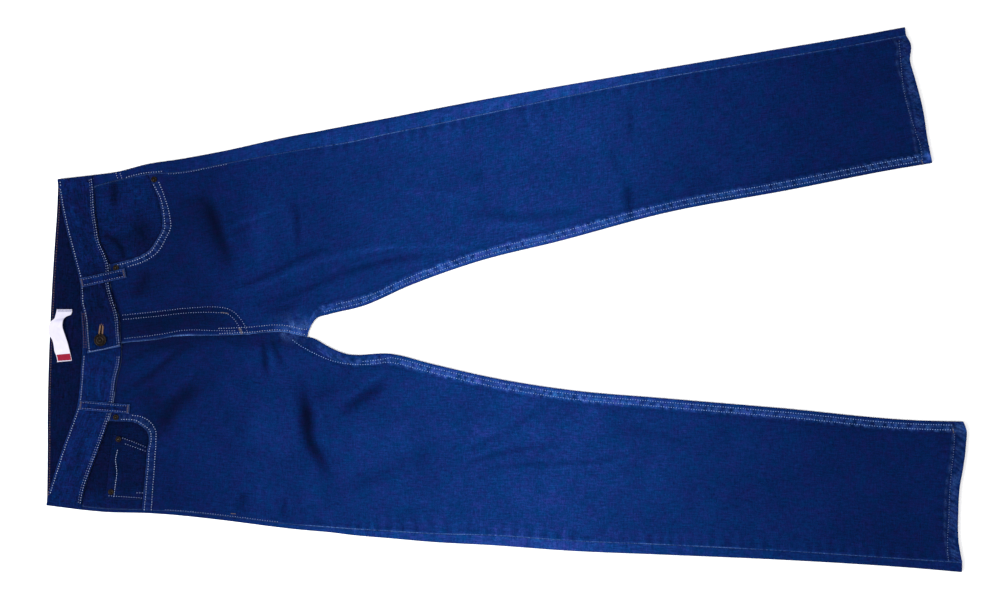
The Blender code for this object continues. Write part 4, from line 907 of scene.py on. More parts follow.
def denim(name, depth=1.0, sheen=0.22, slub=1.0, reverse=False, fresh_gain=0.30):
    """Indigo twill: the warp dyed and the weft pale, slubs both ways, wear where the cloth is rubbed."""
    t = Tree(name)
    cloth = t.node("Attribute", attribute_name="cloth").outputs["Vector"]
    tone = t.node("Attribute", attribute_name="tone").outputs["Fac"]
    wear = t.node("Attribute", attribute_name="wear").outputs["Fac"]
    part = t.node("SeparateXYZ", {0: cloth})
    u, v = part.outputs[0], part.outputs[1]
    # across and along the cloth in metres
    warp = t.noise(cloth, 1.0, 2.0, 0.6, mapping=(1 / 0.0012, 1 / 0.015, 400.0))
    weft = t.noise(cloth, 1.0, 2.0, 0.6, mapping=(1 / 0.011, 1 / 0.0012, 500.0))
    fleck = t.noise(cloth, 1.0, 3.0, 0.7, mapping=(1 / 0.0022, 1 / 0.0026, 300.0))
    cloud = t.noise(cloth, 1.0, 3.0, 0.55, mapping=(1 / 0.060, 1 / 0.085, 600.0))
    wale = t.math("SINE", t.math("ADD", t.math("MULTIPLY", u, 2 * np.pi / 0.00105), t.math("MULTIPLY", v, 2 * np.pi / 0.00072)))
    yarn = t.math("SINE", t.math("MULTIPLY", u, 2 * np.pi / 0.00052))
    pick = t.math("SINE", t.math("MULTIPLY", v, 2 * np.pi / 0.00060))
    weave = t.math("MULTIPLY_ADD", wale, 0.5, t.math("MULTIPLY", t.math("MULTIPLY", yarn, pick), 0.25))
    varied = t.math("MULTIPLY", t.math("SUBTRACT", warp, 0.5), 1.0 * slub)
    varied = t.math("ADD", varied, t.math("MULTIPLY", t.math("SUBTRACT", weft, 0.5), 0.80 * slub))
    varied = t.math("ADD", varied, t.math("MULTIPLY", t.math("SUBTRACT", fleck, 0.5), 1.0 * slub))
    grain = t.noise(cloth, 1.0, 1.0, 0.5, mapping=(1 / 0.0011, 1 / 0.0013, 700.0))
    varied = t.math("ADD", varied, t.math("MULTIPLY", t.math("SUBTRACT", grain, 0.5), 0.65 * slub))
    slubs = t.noise(cloth, 1.0, 2.0, 0.6, mapping=(1 / 0.0034, 1 / 0.0060, 850.0))
    varied = t.math("ADD", varied, t.math("MULTIPLY", t.math("SUBTRACT", slubs, 0.5), 0.60 * slub))
    varied = t.math("ADD", varied, t.math("MULTIPLY", t.math("SUBTRACT", cloud, 0.5), 0.30))
    varied = t.math("ADD", varied, t.math("MULTIPLY", weave, 0.12))
    # unfaded cloth shows its slubs more than faded cloth
    fresh = t.math("MAXIMUM", t.math("MULTIPLY_ADD", tone, -fresh_gain, 0.90 + fresh_gain), 0.86)
    varied = t.math("MAXIMUM", t.math("MULTIPLY_ADD", varied, fresh, 1.0), 0.12)
    value = t.math("MULTIPLY", t.math("MULTIPLY", tone, varied), depth)
    colours = [
        (0.0, shade(3, 5, 20)), (0.28, shade(7, 19, 58)), (0.53, shade(8, 29, 82)), (1.0, shade(14, 47, 112)),
        (1.33, shade(26, 60, 137)), (1.8, shade(45, 79, 164)), (3.0, shade(100, 132, 206)),
    ]
    base = t.ramp(t.math("DIVIDE", value, TONE_SPAN, clamp=True), [(p / TONE_SPAN, c) for p, c in colours])
    # the dye leans to green or to violet in small patches
    lean = t.noise(cloth, 1.0, 2.0, 0.6, mapping=(1 / 0.0055, 1 / 0.0065, 210.0))
    patch = t.noise(cloth, 1.0, 2.0, 0.6, mapping=(1 / 0.019, 1 / 0.024, 330.0))
    leaning = t.math("MULTIPLY_ADD", t.math("ADD", lean, patch), 0.5, 0.0)
    tint = t.ramp(leaning, [(0.36, (0.30, 1.16, 0.97, 1.0)), (0.5, (0.90, 1.0, 1.0, 1.0)), (0.64, (1.85, 0.86, 1.03, 1.0))])
    base = t.mix(1.0, base, tint, blend="MULTIPLY")
    rubbed = t.math("MULTIPLY", wear, t.math("MULTIPLY_ADD", t.math("ADD", fleck, grain), 2.3, -1.6), clamp=True)
    base = t.mix(rubbed, base, shade(104, 146, 222))
    if reverse:
        pale = t.ramp(t.math("MULTIPLY_ADD", weave, 0.35, t.math("MULTIPLY", warp, 0.7)), [(0.2, shade(60, 78, 120)), (0.8, shade(136, 150, 182))])
        base = t.mix(0.75, base, pale)
    height = t.math("ADD", t.math("MULTIPLY", weave, 0.5), t.math("MULTIPLY", t.math("ADD", warp, weft), 0.9))
    height = t.math("ADD", height, t.math("MULTIPLY", fleck, 0.6))
    bump = t.node("Bump", {"Strength": 0.55, "Distance": 0.00022, "Height": height})
    t.put(t.shader.inputs["Base Color"], base)
    t.put(t.shader.inputs["Normal"], bump.outputs[0])
    rough = t.math("MULTIPLY_ADD", fleck, 0.12, 0.80)
    t.put(t.shader.inputs["Roughness"], rough)
    t.shader.inputs["Specular IOR Level"].default_value = 0.01
    t.shader.inputs["Sheen Weight"].default_value = sheen * 0.02
    t.shader.inputs["Sheen Roughness"].default_value = 0.5
    t.shader.inputs["Sheen Tint"].default_value = (0.35, 0.5, 0.9, 1.0)
    return t.material


def thread(name, light, dark, fuzz=0.35):
    """Sewing thread: two plies twisted, a little uneven from stitch to stitch."""
    t = Tree(name)
    cloth = t.node("Attribute", attribute_name="cloth").outputs["Vector"]
    part = t.node("SeparateXYZ", {0: cloth})
    twist = t.math("SINE", t.math("ADD", t.math("MULTIPLY", part.outputs[1], 2 * np.pi / 0.0008), t.math("MULTIPLY", part.outputs[0], 6.2832)))
    each = t.noise(cloth, 1.0, 0.0, 0.5, mapping=(0.02, 30.0, 7.31))
    uneven = t.noise(cloth, 1.0, 2.0, 0.6, mapping=(1.0, 900.0, 3.7))
    mixed = t.math("ADD", t.math("MULTIPLY_ADD", each, 1.3, -0.25), t.math("MULTIPLY", t.math("SUBTRACT", uneven, 0.5), 0.4), clamp=True)
    base = t.mix(mixed, shade(*dark), shade(*light))
    bump = t.node("Bump", {"Strength": 0.5, "Distance": 0.0001, "Height": twist})
    t.put(t.shader.inputs["Base Color"], base)
    t.put(t.shader.inputs["Normal"], bump.outputs[0])
    t.put(t.shader.inputs["Roughness"], t.math("MULTIPLY_ADD", uneven, 0.2, 0.55))
    t.shader.inputs["Sheen Weight"].default_value = fuzz * 0.03
    t.shader.inputs["Specular IOR Level"].default_value = 0.05
    return t.material


def brass(name):
    """Dark antique brass, rubbed brighter where it stands proud."""
    t = Tree(name)
    polish = t.node("Attribute", attribute_name="wear").outputs["Fac"]
    place = t.node("TexCoord").outputs["Object"]
    grime = t.noise(place, 900.0, 4.0, 0.6)
    spots = t.noise(place, 2600.0, 2.0, 0.5)
    amount = t.math("MULTIPLY", polish, t.math("MULTIPLY_ADD", grime, 3.4, -1.85), clamp=True)
    base = t.mix(amount, t.mix(spots, (0.0035, 0.003, 0.0035, 1.0), (0.011, 0.0085, 0.008, 1.0)), (0.30, 0.24, 0.15, 1.0))
    bump = t.node("Bump", {"Strength": 0.35, "Distance": 0.0002, "Height": t.math("ADD", grime, t.math("MULTIPLY", spots, 0.5))})
    t.put(t.shader.inputs["Base Color"], base)
    t.put(t.shader.inputs["Normal"], bump.outputs[0])
    t.put(t.shader.inputs["Roughness"], t.math("MULTIPLY_ADD", grime, 0.35, 0.22))
    t.shader.inputs["Metallic"].default_value = 1.0
    return t.material


def strip_cloth(name):
    """A smooth white woven strip with a plain red end."""
    t = Tree(name)
    cloth = t.node("Attribute", attribute_name="cloth").outputs["Vector"]
    red = t.node("Attribute", attribute_name="tone").outputs["Fac"]
    part = t.node("SeparateXYZ", {0: cloth})
    ribs = t.math("SINE", t.math("MULTIPLY", part.outputs[1], 2 * np.pi / 0.0006))
    fine = t.math("SINE", t.math("MULTIPLY", part.outputs[0], 2 * np.pi / 0.0005))
    cloud = t.noise(cloth, 1.0, 3.0, 0.6, mapping=(1 / 0.006, 1 / 0.009, 100.0))
    white = t.mix(cloud, shade(206, 203, 228), shade(240, 236, 250))
    block = t.mix(cloud, shade(128, 10, 42), shade(160, 22, 56))
    ramp = t.math("GREATER_THAN", red, 0.5)
    base = t.mix(ramp, white, block)
    # the wear attribute holds the label's painted shade, darkening the white and the red where it folds
    shaded = t.node("Attribute", attribute_name="wear").outputs["Fac"]
    base = t.mix(shaded, base, t.mix(ramp, shade(150, 148, 186), shade(96, 10, 34)))
    height = t.math("ADD", t.math("MULTIPLY", ribs, 0.5), t.math("MULTIPLY", fine, 0.3))
    bump = t.node("Bump", {"Strength": 0.4, "Distance": 0.00012, "Height": t.math("ADD", height, cloud)})
    t.put(t.shader.inputs["Base Color"], base)
    t.put(t.shader.inputs["Normal"], bump.outputs[0])
    t.put(t.shader.inputs["Roughness"], t.math("MULTIPLY_ADD", cloud, 0.15, 0.5))
    t.shader.inputs["Sheen Weight"].default_value = 0.01
    t.shader.inputs["Specular IOR Level"].default_value = 0.08
    return t.material


def floor_material():
    t = Tree("pale_floor")
    place = t.node("TexCoord").outputs["Object"]
    faint = t.noise(place, 3.0, 3.0, 0.5)
    t.put(t.shader.inputs["Base Color"], t.mix(faint, (0.93, 0.93, 0.93, 1.0), (0.95, 0.95, 0.95, 1.0)))
    t.put(t.shader.inputs["Roughness"], t.math("MULTIPLY_ADD", faint, 0.1, 0.8))
    t.shader.inputs["Specular IOR Level"].default_value = 0.1
    return t.material


DENIM_FRONT = denim("denim_front")
DENIM_BACK = denim("denim_back")
DENIM_TRIM = denim("denim_trim", slub=1.15, fresh_gain=1.3)
DENIM_POCKET = denim("denim_pocket", slub=0.95, fresh_gain=1.45)
DENIM_REVERSE = denim("denim_reverse", reverse=True)
PALE_THREAD = thread("pale_thread", (212, 226, 252), (124, 144, 194))
BLUE_THREAD = thread("blue_thread", (176, 208, 255), (104, 144, 222))
FINE_THREAD = thread("fine_thread", (174, 190, 230), (92, 110, 164))
GOLD_THREAD = thread("gold_thread", (172, 138, 110), (98, 74, 66))
BAR_THREAD = thread("bar_thread", (138, 128, 130), (66, 62, 82))
TAN_THREAD = thread("tan_thread", (144, 166, 212), (84, 106, 156))
BROWN_THREAD = thread("brown_thread", (152, 114, 102), (76, 60, 68))
GREY_THREAD = thread("grey_thread", (160, 164, 190), (104, 112, 146))
BRASS = brass("antique_brass")
LABEL = strip_cloth("label_cloth")


# ---- Front panels ----
def opening_distance(side, x, y):
    """Signed distance to the pocket opening's edge, negative inside the opening, with the nearest point on the edge and its place along it."""
    line = OPENING[side]
    outer_y = 185.0 if side == "left" else -300.0
    whole = np.concatenate([[[-560.0, line[0, 1]]], line, [[line[-1, 0], outer_y]]])
    gap, near_x, near_y, along = nearest_on(whole, x, y)
    return np.where(inside(opening_polygon(side), x, y), -gap, gap), near_x, near_y, along


def seat_detail(side, x, y):
    """Unevenness shared by all the layers of the seat, so that they lie on each other."""
    seed = 31 if side == "left" else 47
    return 0.42 * field(x, y, 74.0, seed) + 0.22 * field(x, y, 27.0, seed + 1) + 0.06 * field(x, y, 9.0, seed + 2)


FLY_J = curve_points(in_view([(118, 315.6), (158, 311.4), (195, 307.6), (219, 307.2), (231, 310), (240, 318), (246.6, 329), (249.5, 337)]), 40)


def front_piece(side):
    left = side == "left"
    stations = even_rows(side, 0.0, HEM_ROW, 2.75)
    lines = [front_line(side, float(t)) for t in stations]
    x, y, z, along, edge = (np.array([line[k] for line in lines]) for k in range(5))
    t_at, seam_s, inner_s = LENGTHS[side]
    s_seam = np.interp(stations, t_at, seam_s)[:, None] + 0 * x
    s_inner = np.interp(stations, t_at, inner_s)[:, None] + 0 * x
    share = np.array([rise_to_leg(t) for t in stations])[:, None] + 0 * x
    from_inner = edge - FOLD_HEIGHT / 2
    hem_d = (s_seam[-1:] - s_seam) * (1 - along / (along + edge)) + (s_inner[-1:] - s_inner) * along / (along + edge)
    across = along
    seed = 100 if left else 200

    signed, near_x, near_y, open_s = opening_distance(side, x, y)
    lifted, changed = stroked(LEFT_STROKES if left else RIGHT_STROKES, x, y)
    held = smooth(along / 16.0) * (1.0 - 0.75 * share * np.exp(-((np.maximum(from_inner, 0.0) / 12.0) ** 2)))
    tone = dye_and_painted_shade(side, x, y) * changed
    dz = seat_detail(side, x, y) + lifted * held
    wear = np.zeros_like(x)

    # the outseam: its allowance lies under this panel, and the cloth puckers along it; the puckers are painted lighter
    # on their ridges and darker between, partly wear and partly painted shade
    started = smooth((x + 262.0) / 30.0)
    lower = smooth((x - 210.0) / 120.0)
    puckers = ripple(s_seam, 15.5, seed)
    teeth = np.sign(puckers) * np.abs(puckers) ** 1.3
    reach = 10.5 + 4.5 * field(s_seam, 0.0, 19.0, seed + 5)
    near = np.exp(-((along / reach) ** 2))
    dz += 0.55 * teeth * near * started + 0.28 * np.exp(-((along / 7.0) ** 4)) * started
    tone *= 1.0 + ((0.20 if left else 0.26) * teeth + (-0.02 if left else 0.08)) * np.exp(-(((along - 3.0) / reach) ** 2)) * started
    line = np.exp(-((along / 0.60) ** 2))
    wear += line * np.clip(0.62 + 0.45 * ripple(s_seam, 6.4, seed + 7) + 0.40 * field(s_seam, 9.0, 34.0, seed + 6), 0.0, 1.0) * started * (1.0 - 0.45 * lower)
    tone *= 1.0 + 0.22 * lower * np.exp(-((along / 3.4) ** 2))
    tone *= 1.0 - 0.17 * np.exp(-(((along - 4.6) / 1.9) ** 2)) * (0.7 + 0.5 * field(s_seam, 3.0, 26.0, seed + 8)) * started
    wear += line * 0.22 * (1 - started)

    # the inseam: felled, doubled to about 11 mm from the edge; its ropes are painted lighter where raised, partly wear
    # and partly painted light and shade, and a line of painted shade lies just past the doubled strip
    felled = share * (1.0 - smooth((from_inner - 10.3) / 2.0))
    rope = ripple(s_inner + 0.55 * from_inner, 9.6, seed + 10)
    cross = ripple(s_inner - 0.7 * from_inner + 300.0, 7.4, seed + 13)
    window = share * smooth((from_inner + 1.0) / 3.0) * (1.0 - smooth((from_inner - 8.0) / 7.0))
    dz += 0.42 * felled + (0.30 * rope + 0.14 * cross) * window
    speckle = field(s_inner, from_inner, 2.3, seed + 41)
    between = np.exp(-(((from_inner - 7.6) / 3.4) ** 4))
    patches = field(s_inner * 0.7, from_inner, 4.4, seed + 43)
    tone *= 1.0 + (0.30 * rope + 0.22 * cross + 0.22 * patches) * window + share * between * (0.30 + 0.30 * speckle + 0.24 * patches)
    tone *= 1.0 + share * (0.34 * np.exp(-((np.maximum(from_inner, 0.0) / 3.6) ** 2)) + 0.10 * np.exp(-((from_inner / 12.0) ** 2)))
    wear += share * between * np.clip(0.01 + 0.24 * speckle + 0.10 * rope, 0.0, 1.0)
    tone *= 1.0 - 0.16 * share * np.exp(-(((from_inner - 14.0) / 2.2) ** 2))
    wear += share * (0.05 + 0.07 * rope) * np.exp(-(((from_inner - 3.6) / 2.4) ** 2))

    # the hem: turned up, roped, its upper edge showing through; its ropes are painted lighter where raised, partly wear
    # and partly painted light and shade, with a line of painted shade just above its upper edge
    band = 1.0 - smooth((hem_d - 12.6) / 2.6)
    rope = ripple(across + 0.8 * hem_d * (1 if left else -1), 10.2, seed + 20)
    small = ripple(across - 0.5 * hem_d + 77.0, 5.6, seed + 23)
    inside_band = np.sin(np.pi * np.clip(hem_d / 13.5, 0.0, 1.0)) ** 0.7
    dz += 0.5 * band + (0.38 * rope + 0.16 * small) * inside_band
    blots = field(across + 0.7 * hem_d, hem_d, 5.4, seed + 45)
    tone *= 1.0 + (0.34 * rope + 0.26 * small + 0.34 * blots + 0.20) * inside_band
    tone *= 1.0 + 0.40 * np.exp(-((hem_d / 4.0) ** 2)) * (1.0 + 0.5 * rope)
    wear += np.clip(0.05 + 0.10 * small + 0.10 * blots, 0.0, 1.0) * inside_band
    tone *= 1.0 - 0.22 * np.exp(-(((hem_d - 15.2) / 1.5) ** 2))
    ticks = ripple(across, 12.5, seed + 26)
    wear += (0.07 + 0.07 * ticks) * np.exp(-(((hem_d - 16.4) / 0.9) ** 2))
    tone *= 1.0 + 0.12 * ticks * np.exp(-(((hem_d - 22.0) / 7.0) ** 2))

    # the pocket's edge, worn pale; its puckers are painted lighter on their ridges and darker between, partly wear and
    # partly painted shade
    worn = 0.5 + 0.5 * np.sin(np.clip((open_s - 60.0) / 130.0, 0.0, 1.0) * np.pi) if left else 0.55 + 0.45 * np.exp(-(((open_s - 118.0) / 26.0) ** 2))
    beside = ripple(open_s, 6.6, seed + 30)
    faced = np.exp(-((np.maximum(signed - 1.0, 0.0) / 7.6) ** 6))
    dz += faced * (0.34 + 0.16 * beside * smooth(signed / 2.0))
    tone *= 1.0 + faced * (0.10 * worn + 0.20 * beside) - 0.12 * np.exp(-(((signed - 12.5) / 2.6) ** 2))
    wear += faced * 0.10 * worn * np.clip(0.35 + beside, 0.0, 1.0)
    wear += 0.10 * worn * np.exp(-((signed / 0.9) ** 2))

    # under the waistband, and its shadow
    below = np.maximum(x - waist_x(y), 0.0)
    tone *= 1.0 - 0.28 * np.exp(-((below / 4.2) ** 2))
    dz -= 0.30 * np.exp(-(((below - 3.0) / 3.2) ** 2))

    if left:
        # the fly: doubled inside the curved rows, its edge rubbed pale; darkened between its rows and along the curved
        # row's groove as painted shade, and lighter on its edge's waves as painted light
        gap, _, _, fly_s = nearest_on(FLY_J, x, y)
        rise = 1.0 - share
        in_fly = inside(np.concatenate([FLY_J, in_view([(249, 341), (118, 350)])]), x, y)
        tone *= 1.0 - 0.16 * np.exp(-((gap / 4.0) ** 2)) * (x < -300.0)
        dark_fly = 0.30 + 0.18 * np.exp(-(((x + 420.0) / 44.0) ** 2)) - 0.34 * np.exp(-((edge / 9.0) ** 2)) - 0.10 * np.exp(-(((x + 347.0) / 14.0) ** 2) - (((edge - 22.0) / 7.0) ** 2))
        tone = np.where(in_fly, tone * (1.0 - dark_fly * smooth(gap / 2.0)), tone)
        dz += -0.35 * np.exp(-((gap / 2.6) ** 2)) * (x < -302.0) + 0.12 * ripple(fly_s, 8.0, 71) * np.exp(-((gap / 6.0) ** 2)) * (x < -300.0)
        rubbed = np.exp(-((edge / 1.0) ** 2)) * rise
        wear += rubbed * (0.42 + 0.30 * field(s_inner, 0.0, 11.0, 74))
        tone *= 1.0 + 0.25 * rise * np.exp(-(((edge - 2.5) / 2.2) ** 2))
        dz += 0.30 * field(x, y, 13.0, 79) * np.exp(-(((x + 350.0) / 24.0) ** 2)) * np.exp(-((edge / 34.0) ** 2))
        edge_wave = ripple(s_inner, 17.0, 83)
        dz += 0.22 * edge_wave * np.exp(-((edge / 9.0) ** 2)) * rise
        tone *= 1.0 + 0.10 * edge_wave * np.exp(-((edge / 9.0) ** 2)) * rise
    else:
        beside_fly = np.maximum(from_inner - FLY_OVERLAP, 0.0)
        # painted shadow of the left front's fly strip, on the right front beside it
        tone *= 1.0 - 0.30 * np.exp(-((beside_fly / 5.0) ** 2)) * (1 - share)
    # rubbed at the crotch
    crotch = np.exp(-(((x + 258.0) / 22.0) ** 2) - (((y + 36.0) / 12.0) ** 2))
    frayed = np.clip(0.35 + 0.7 * field(x, y, 3.4, 91) + 0.5 * field(x, y, 7.0, 92), 0.0, 1.0)
    wear += 0.42 * crotch * frayed
    tone *= 1.0 + (0.40 + 0.35 * field(x, y, 4.6, 93)) * crotch

    fade = np.ones(x.shape[1])
    fade[-len(TURN) + 1:] = 0.0
    turned_in = np.concatenate([np.zeros(x.shape[1] - len(TURN) + 1), np.sin(TURN[1:])])[None, :]
    # painted shade on the inner edge's roll, where it turns away from the light
    tone = tone * (1.0 - 0.30 * share * turned_in)
    curled = fade[None, :] * dz + (1 - fade[None, :]) * dz[:, -len(TURN)][:, None] * np.concatenate([np.ones(x.shape[1] - len(TURN) + 1), np.cos(TURN[1:])])[None, :]
    z = z + curled
    flat_part = np.arange(x.shape[1])[None, :] < x.shape[1] - len(TURN) + 1
    floor_z = lift(x) + 2.35 + 0.45 * (1.0 - share)
    room = (z - floor_z) / 0.30
    z = np.where(flat_part, floor_z + 0.30 * np.logaddexp(0.0, room), z)
    cloth = np.stack([along, (s_seam + s_inner) / 2, np.full_like(x, seed)], axis=-1)
    shares = np.where(hem_d < 13.5, 1.0, 0.45)
    return cloth_piece(
        "front_" + side, "front_panel_" + side, np.stack([x, y, z], axis=-1), 2.1, DENIM_FRONT, cloth, tone,
        wear, cut_line=(signed, near_x, near_y), shares=shares, flip=not left, lining=DENIM_REVERSE,
    )


FRONTS = {side: front_piece(side) for side in ("left", "right")}


# ---- Back panels and yokes ----
# Creases of the underside, out of sight: below the seat, behind the knees and along the calves. Their places are
# not seen, so they are like those of the front in kind and size. They only go inwards, because the cloth rests here.
# Their change of shade is painted shade in the troughs.
UNDER_STROKES = {
    "left": [
        ([(268, 205), (281, 222), (297, 238), (312, 249)], 7.0, -0.30, -1.0),
        ([(300, 262), (318, 251), (340, 243), (362, 239)], 6.0, -0.24, -0.8),
        ([(262, 244), (274, 254), (290, 262)], 5.5, -0.16, -0.5),
        ([(512, 128), (521, 145), (526, 163), (525, 181)], 5.5, -0.28, -0.9),
        ([(536, 151), (549, 163), (556, 180), (558, 197)], 4.4, -0.22, -0.7),
        ([(571, 118), (577, 134), (578, 149)], 6.0, -0.14, -0.5),
        ([(600, 160), (646, 148), (690, 137), (722, 131)], 7.0, -0.18, -0.6),
        ([(745, 96), (790, 93), (828, 86)], 8.0, -0.12, -0.4),
    ],
    "right": [
        ([(262, 372), (276, 392), (285, 414), (288, 436)], 6.5, -0.28, -0.9),
        ([(297, 366), (310, 375), (325, 381), (340, 385)], 5.5, -0.24, -0.7),
        ([(240, 440), (262, 446), (283, 448)], 6.5, -0.14, -0.5),
        ([(520, 418), (528, 438), (531, 458), (528, 474)], 6.0, -0.26, -0.9),
        ([(548, 430), (557, 447), (560, 468)], 4.4, -0.20, -0.6),
        ([(490, 470), (506, 482), (526, 489), (549, 492)], 7.0, -0.16, -0.5),
        ([(618, 462), (662, 470), (709, 474), (752, 476)], 7.0, -0.18, -0.6),
        ([(800, 500), (838, 503), (870, 502)], 8.0, -0.12, -0.4),
    ],
}


def back_piece(side, start, stop, name, node, spacing, first_row=None):
    left = side == "left"
    stations = even_rows(side, start, stop, spacing)
    lines = [back_line(side, float(t)) for t in stations]
    x, y, z, along, edge = (np.array([line[k] for line in lines]) for k in range(5))
    if first_row is not None:
        lip = np.arange(x.shape[1]) < 11
        x[0] = np.where(lip, waist_x(y[0]), read(BACK_WAIST_SEAM, "y", "x", y[0])) + first_row
    t_at, seam_s, inner_s = LENGTHS[side]
    s_seam = np.interp(stations, t_at, seam_s)[:, None] + 0 * x
    seed = 300 if left else 400
    hem_d = s_seam[-1:] - s_seam if stop == HEM_ROW else np.full_like(x, 999.0)
    tone = read(ALONG_TONE, "x", "tone", x) * (1.0 + 0.05 * field(x, y, 40.0, seed))
    on_top = 1.0 - smooth((along - 12.0) / 8.0)
    waist_end = 1.0 - smooth((x + 380.0) / 60.0)
    tone *= 1.0 + on_top * (0.30 - 0.05 * waist_end)
    puckers = ripple(s_seam, 15.5, 100 if left else 200)
    # 0 on the upper lip, 1 on the underside
    walk_turn = np.concatenate([np.zeros(4), np.linspace(0.0, 1.0, 13), np.full(x.shape[1] - 17, 9.0)])[None, :] + 0 * x
    dz = np.zeros_like(x)
    wear = np.zeros_like(x)
    mottle = 0.5 * field(s_seam / 2.0, along, 2.6, seed + 31) + 0.5 * field(s_seam, along, 7.0, seed + 32)
    tone *= 1.0 + 0.12 * mottle * on_top
    # puckers along the outseam: raised, and painted lighter on their ridges, partly wear and partly painted shade
    near = np.exp(-((along / 4.5) ** 2))
    dz += 0.16 * puckers * near
    tone *= 1.0 + 0.09 * puckers * near
    # painted shade on the roll's outer side, where the edge turns away from the light
    tone *= 1.0 - 0.34 * np.exp(-(((walk_turn - 0.62) / 0.34) ** 2))
    ripples = ripple(s_seam, 23.0, seed + 3)
    tone *= 1.0 + 0.05 * ripples * on_top
    band = 1.0 - smooth((hem_d - 12.6) / 2.6)
    rope = ripple(along + 0.8 * hem_d, 9.4, seed + 20)
    inside_band = np.sin(np.pi * np.clip(hem_d / 13.5, 0.0, 1.0)) ** 0.7
    upper = z > 2.4
    dz += np.where(upper, 0.30 * band + 0.2 * rope * inside_band, 0.0)
    # the hem's ropes painted lighter along them, partly wear and partly painted light and shade
    tone *= 1.0 + 0.2 * rope * inside_band
    tone *= 1.0 + 0.25 * np.exp(-((hem_d / 3.0) ** 2))
    # painted shadow of the waistband
    below = np.maximum(x - waist_x(y), 0.0)
    tone *= 1.0 - 0.25 * np.exp(-((below / 4.0) ** 2))
    # the underside's creases, kept clear of the front that lies above, with painted shade in their troughs
    beyond = np.maximum(along - along[:, 16:17], 0.0)
    crown = np.array([crown_of(float(t)) for t in stations])[:, None] * np.sin(np.pi * beyond / (beyond + edge + 1e-6)) ** 2
    lifted, changed = stroked(UNDER_STROKES[side], x, y)
    held = smooth((beyond - 6.0) / 14.0) * smooth((edge - 14.0) / 10.0) * (1.0 - band)
    dz += np.minimum(np.maximum(-lifted, 0.0), 0.32 + 0.45 * crown) * held
    tone *= 1.0 + (changed - 1.0) * held
    cloth = np.stack([along, s_seam, np.full_like(x, seed)], axis=-1)
    shares = np.where(hem_d < 13.5, 1.0, 0.45)
    return cloth_piece(
        name, node, np.stack([x, y, z + dz], axis=-1), 2.1, DENIM_BACK, cloth, tone, wear,
        shares=shares, flip=left, lining=DENIM_REVERSE,
    )


BACKS, YOKES = {}, {}
for side in ("left", "right"):
    BACKS[side] = back_piece(side, YOKE_ROW + 0.006, HEM_ROW, "back_" + side, "back_panel_" + side, 3.6)
    YOKES[side] = back_piece(side, 0.0, YOKE_ROW - 0.006, "back_yoke_" + side, "yoke_" + side, 2.2, 0.25)


# ---- Waistband ----
def band_rows():
    """Sections across the strip, from its button end to the end under the button."""
    sections = []

    def add(top_x, top_y, low_x, low_y, z):
        share = np.linspace(0.0, 1.0, 30)
        sections.append(np.stack([top_x + (low_x - top_x) * share, top_y + (low_y - top_y) * share, np.full(30, z)], axis=1))

    def front_stretch(tab, low_ys):
        for low_y in low_ys:
            at = np.array(low_y)
            top_x, top_y, z = (float(read(tab, "low_y", name, at)) for name in ("top_x", "top_y", "height"))
            add(top_x, top_y, float(waist_x(at)), low_y, z)

    def side_roll(place, front_z, out):
        x, top_y, low_y = place
        centre = (front_z + SEAT_LIFT) / 2
        radius = centre - SEAT_LIFT
        low_x = float(waist_x(low_y))
        for turn in np.radians(np.linspace(20.0, 160.0, 11)[:: 1 if out > 0 else -1]):
            inset = -out * radius * (1.0 - np.sin(turn))
            add(x + 0.3 * (1.0 - np.sin(turn)), top_y + inset, low_x, low_y + inset, centre + radius * np.cos(turn))

    front_stretch(BAND_FRONT_LEFT, np.linspace(-57.5, 149.0, 120))
    side_roll(BAND_SIDE_LEFT, BAND_FRONT_LEFT["height"][-1], 1.0)
    rows = np.stack([BAND_BACK["top_x"], BAND_BACK["top_y"], BAND_BACK["low_y"]], axis=1)
    for top_x, top_y, low_y in curve_points(rows, 150):
        add(top_x, top_y, float(read(BACK_WAIST_SEAM, "y", "x", low_y)), low_y, SEAT_LIFT)
    side_roll(BAND_SIDE_RIGHT, BAND_FRONT_RIGHT["height"][0], -1.0)
    front_stretch(BAND_FRONT_RIGHT, np.linspace(-250.0, -13.0, 140))
    return np.array(sections)


BAND_TONE_LEFT = table("y tone", [(-66.0, 0.36), (-40.0, 0.34), (-10.0, 0.28), (20.0, 0.30), (55.0, 0.35), (95.0, 0.38), (130.0, 0.46), (156.0, 0.50)])
BAND_TONE_RIGHT = table("y tone", [(-262.0, 0.44), (-220.0, 0.50), (-150.0, 0.52), (-90.0, 0.48), (-60.0, 0.40), (-10.0, 0.22)])


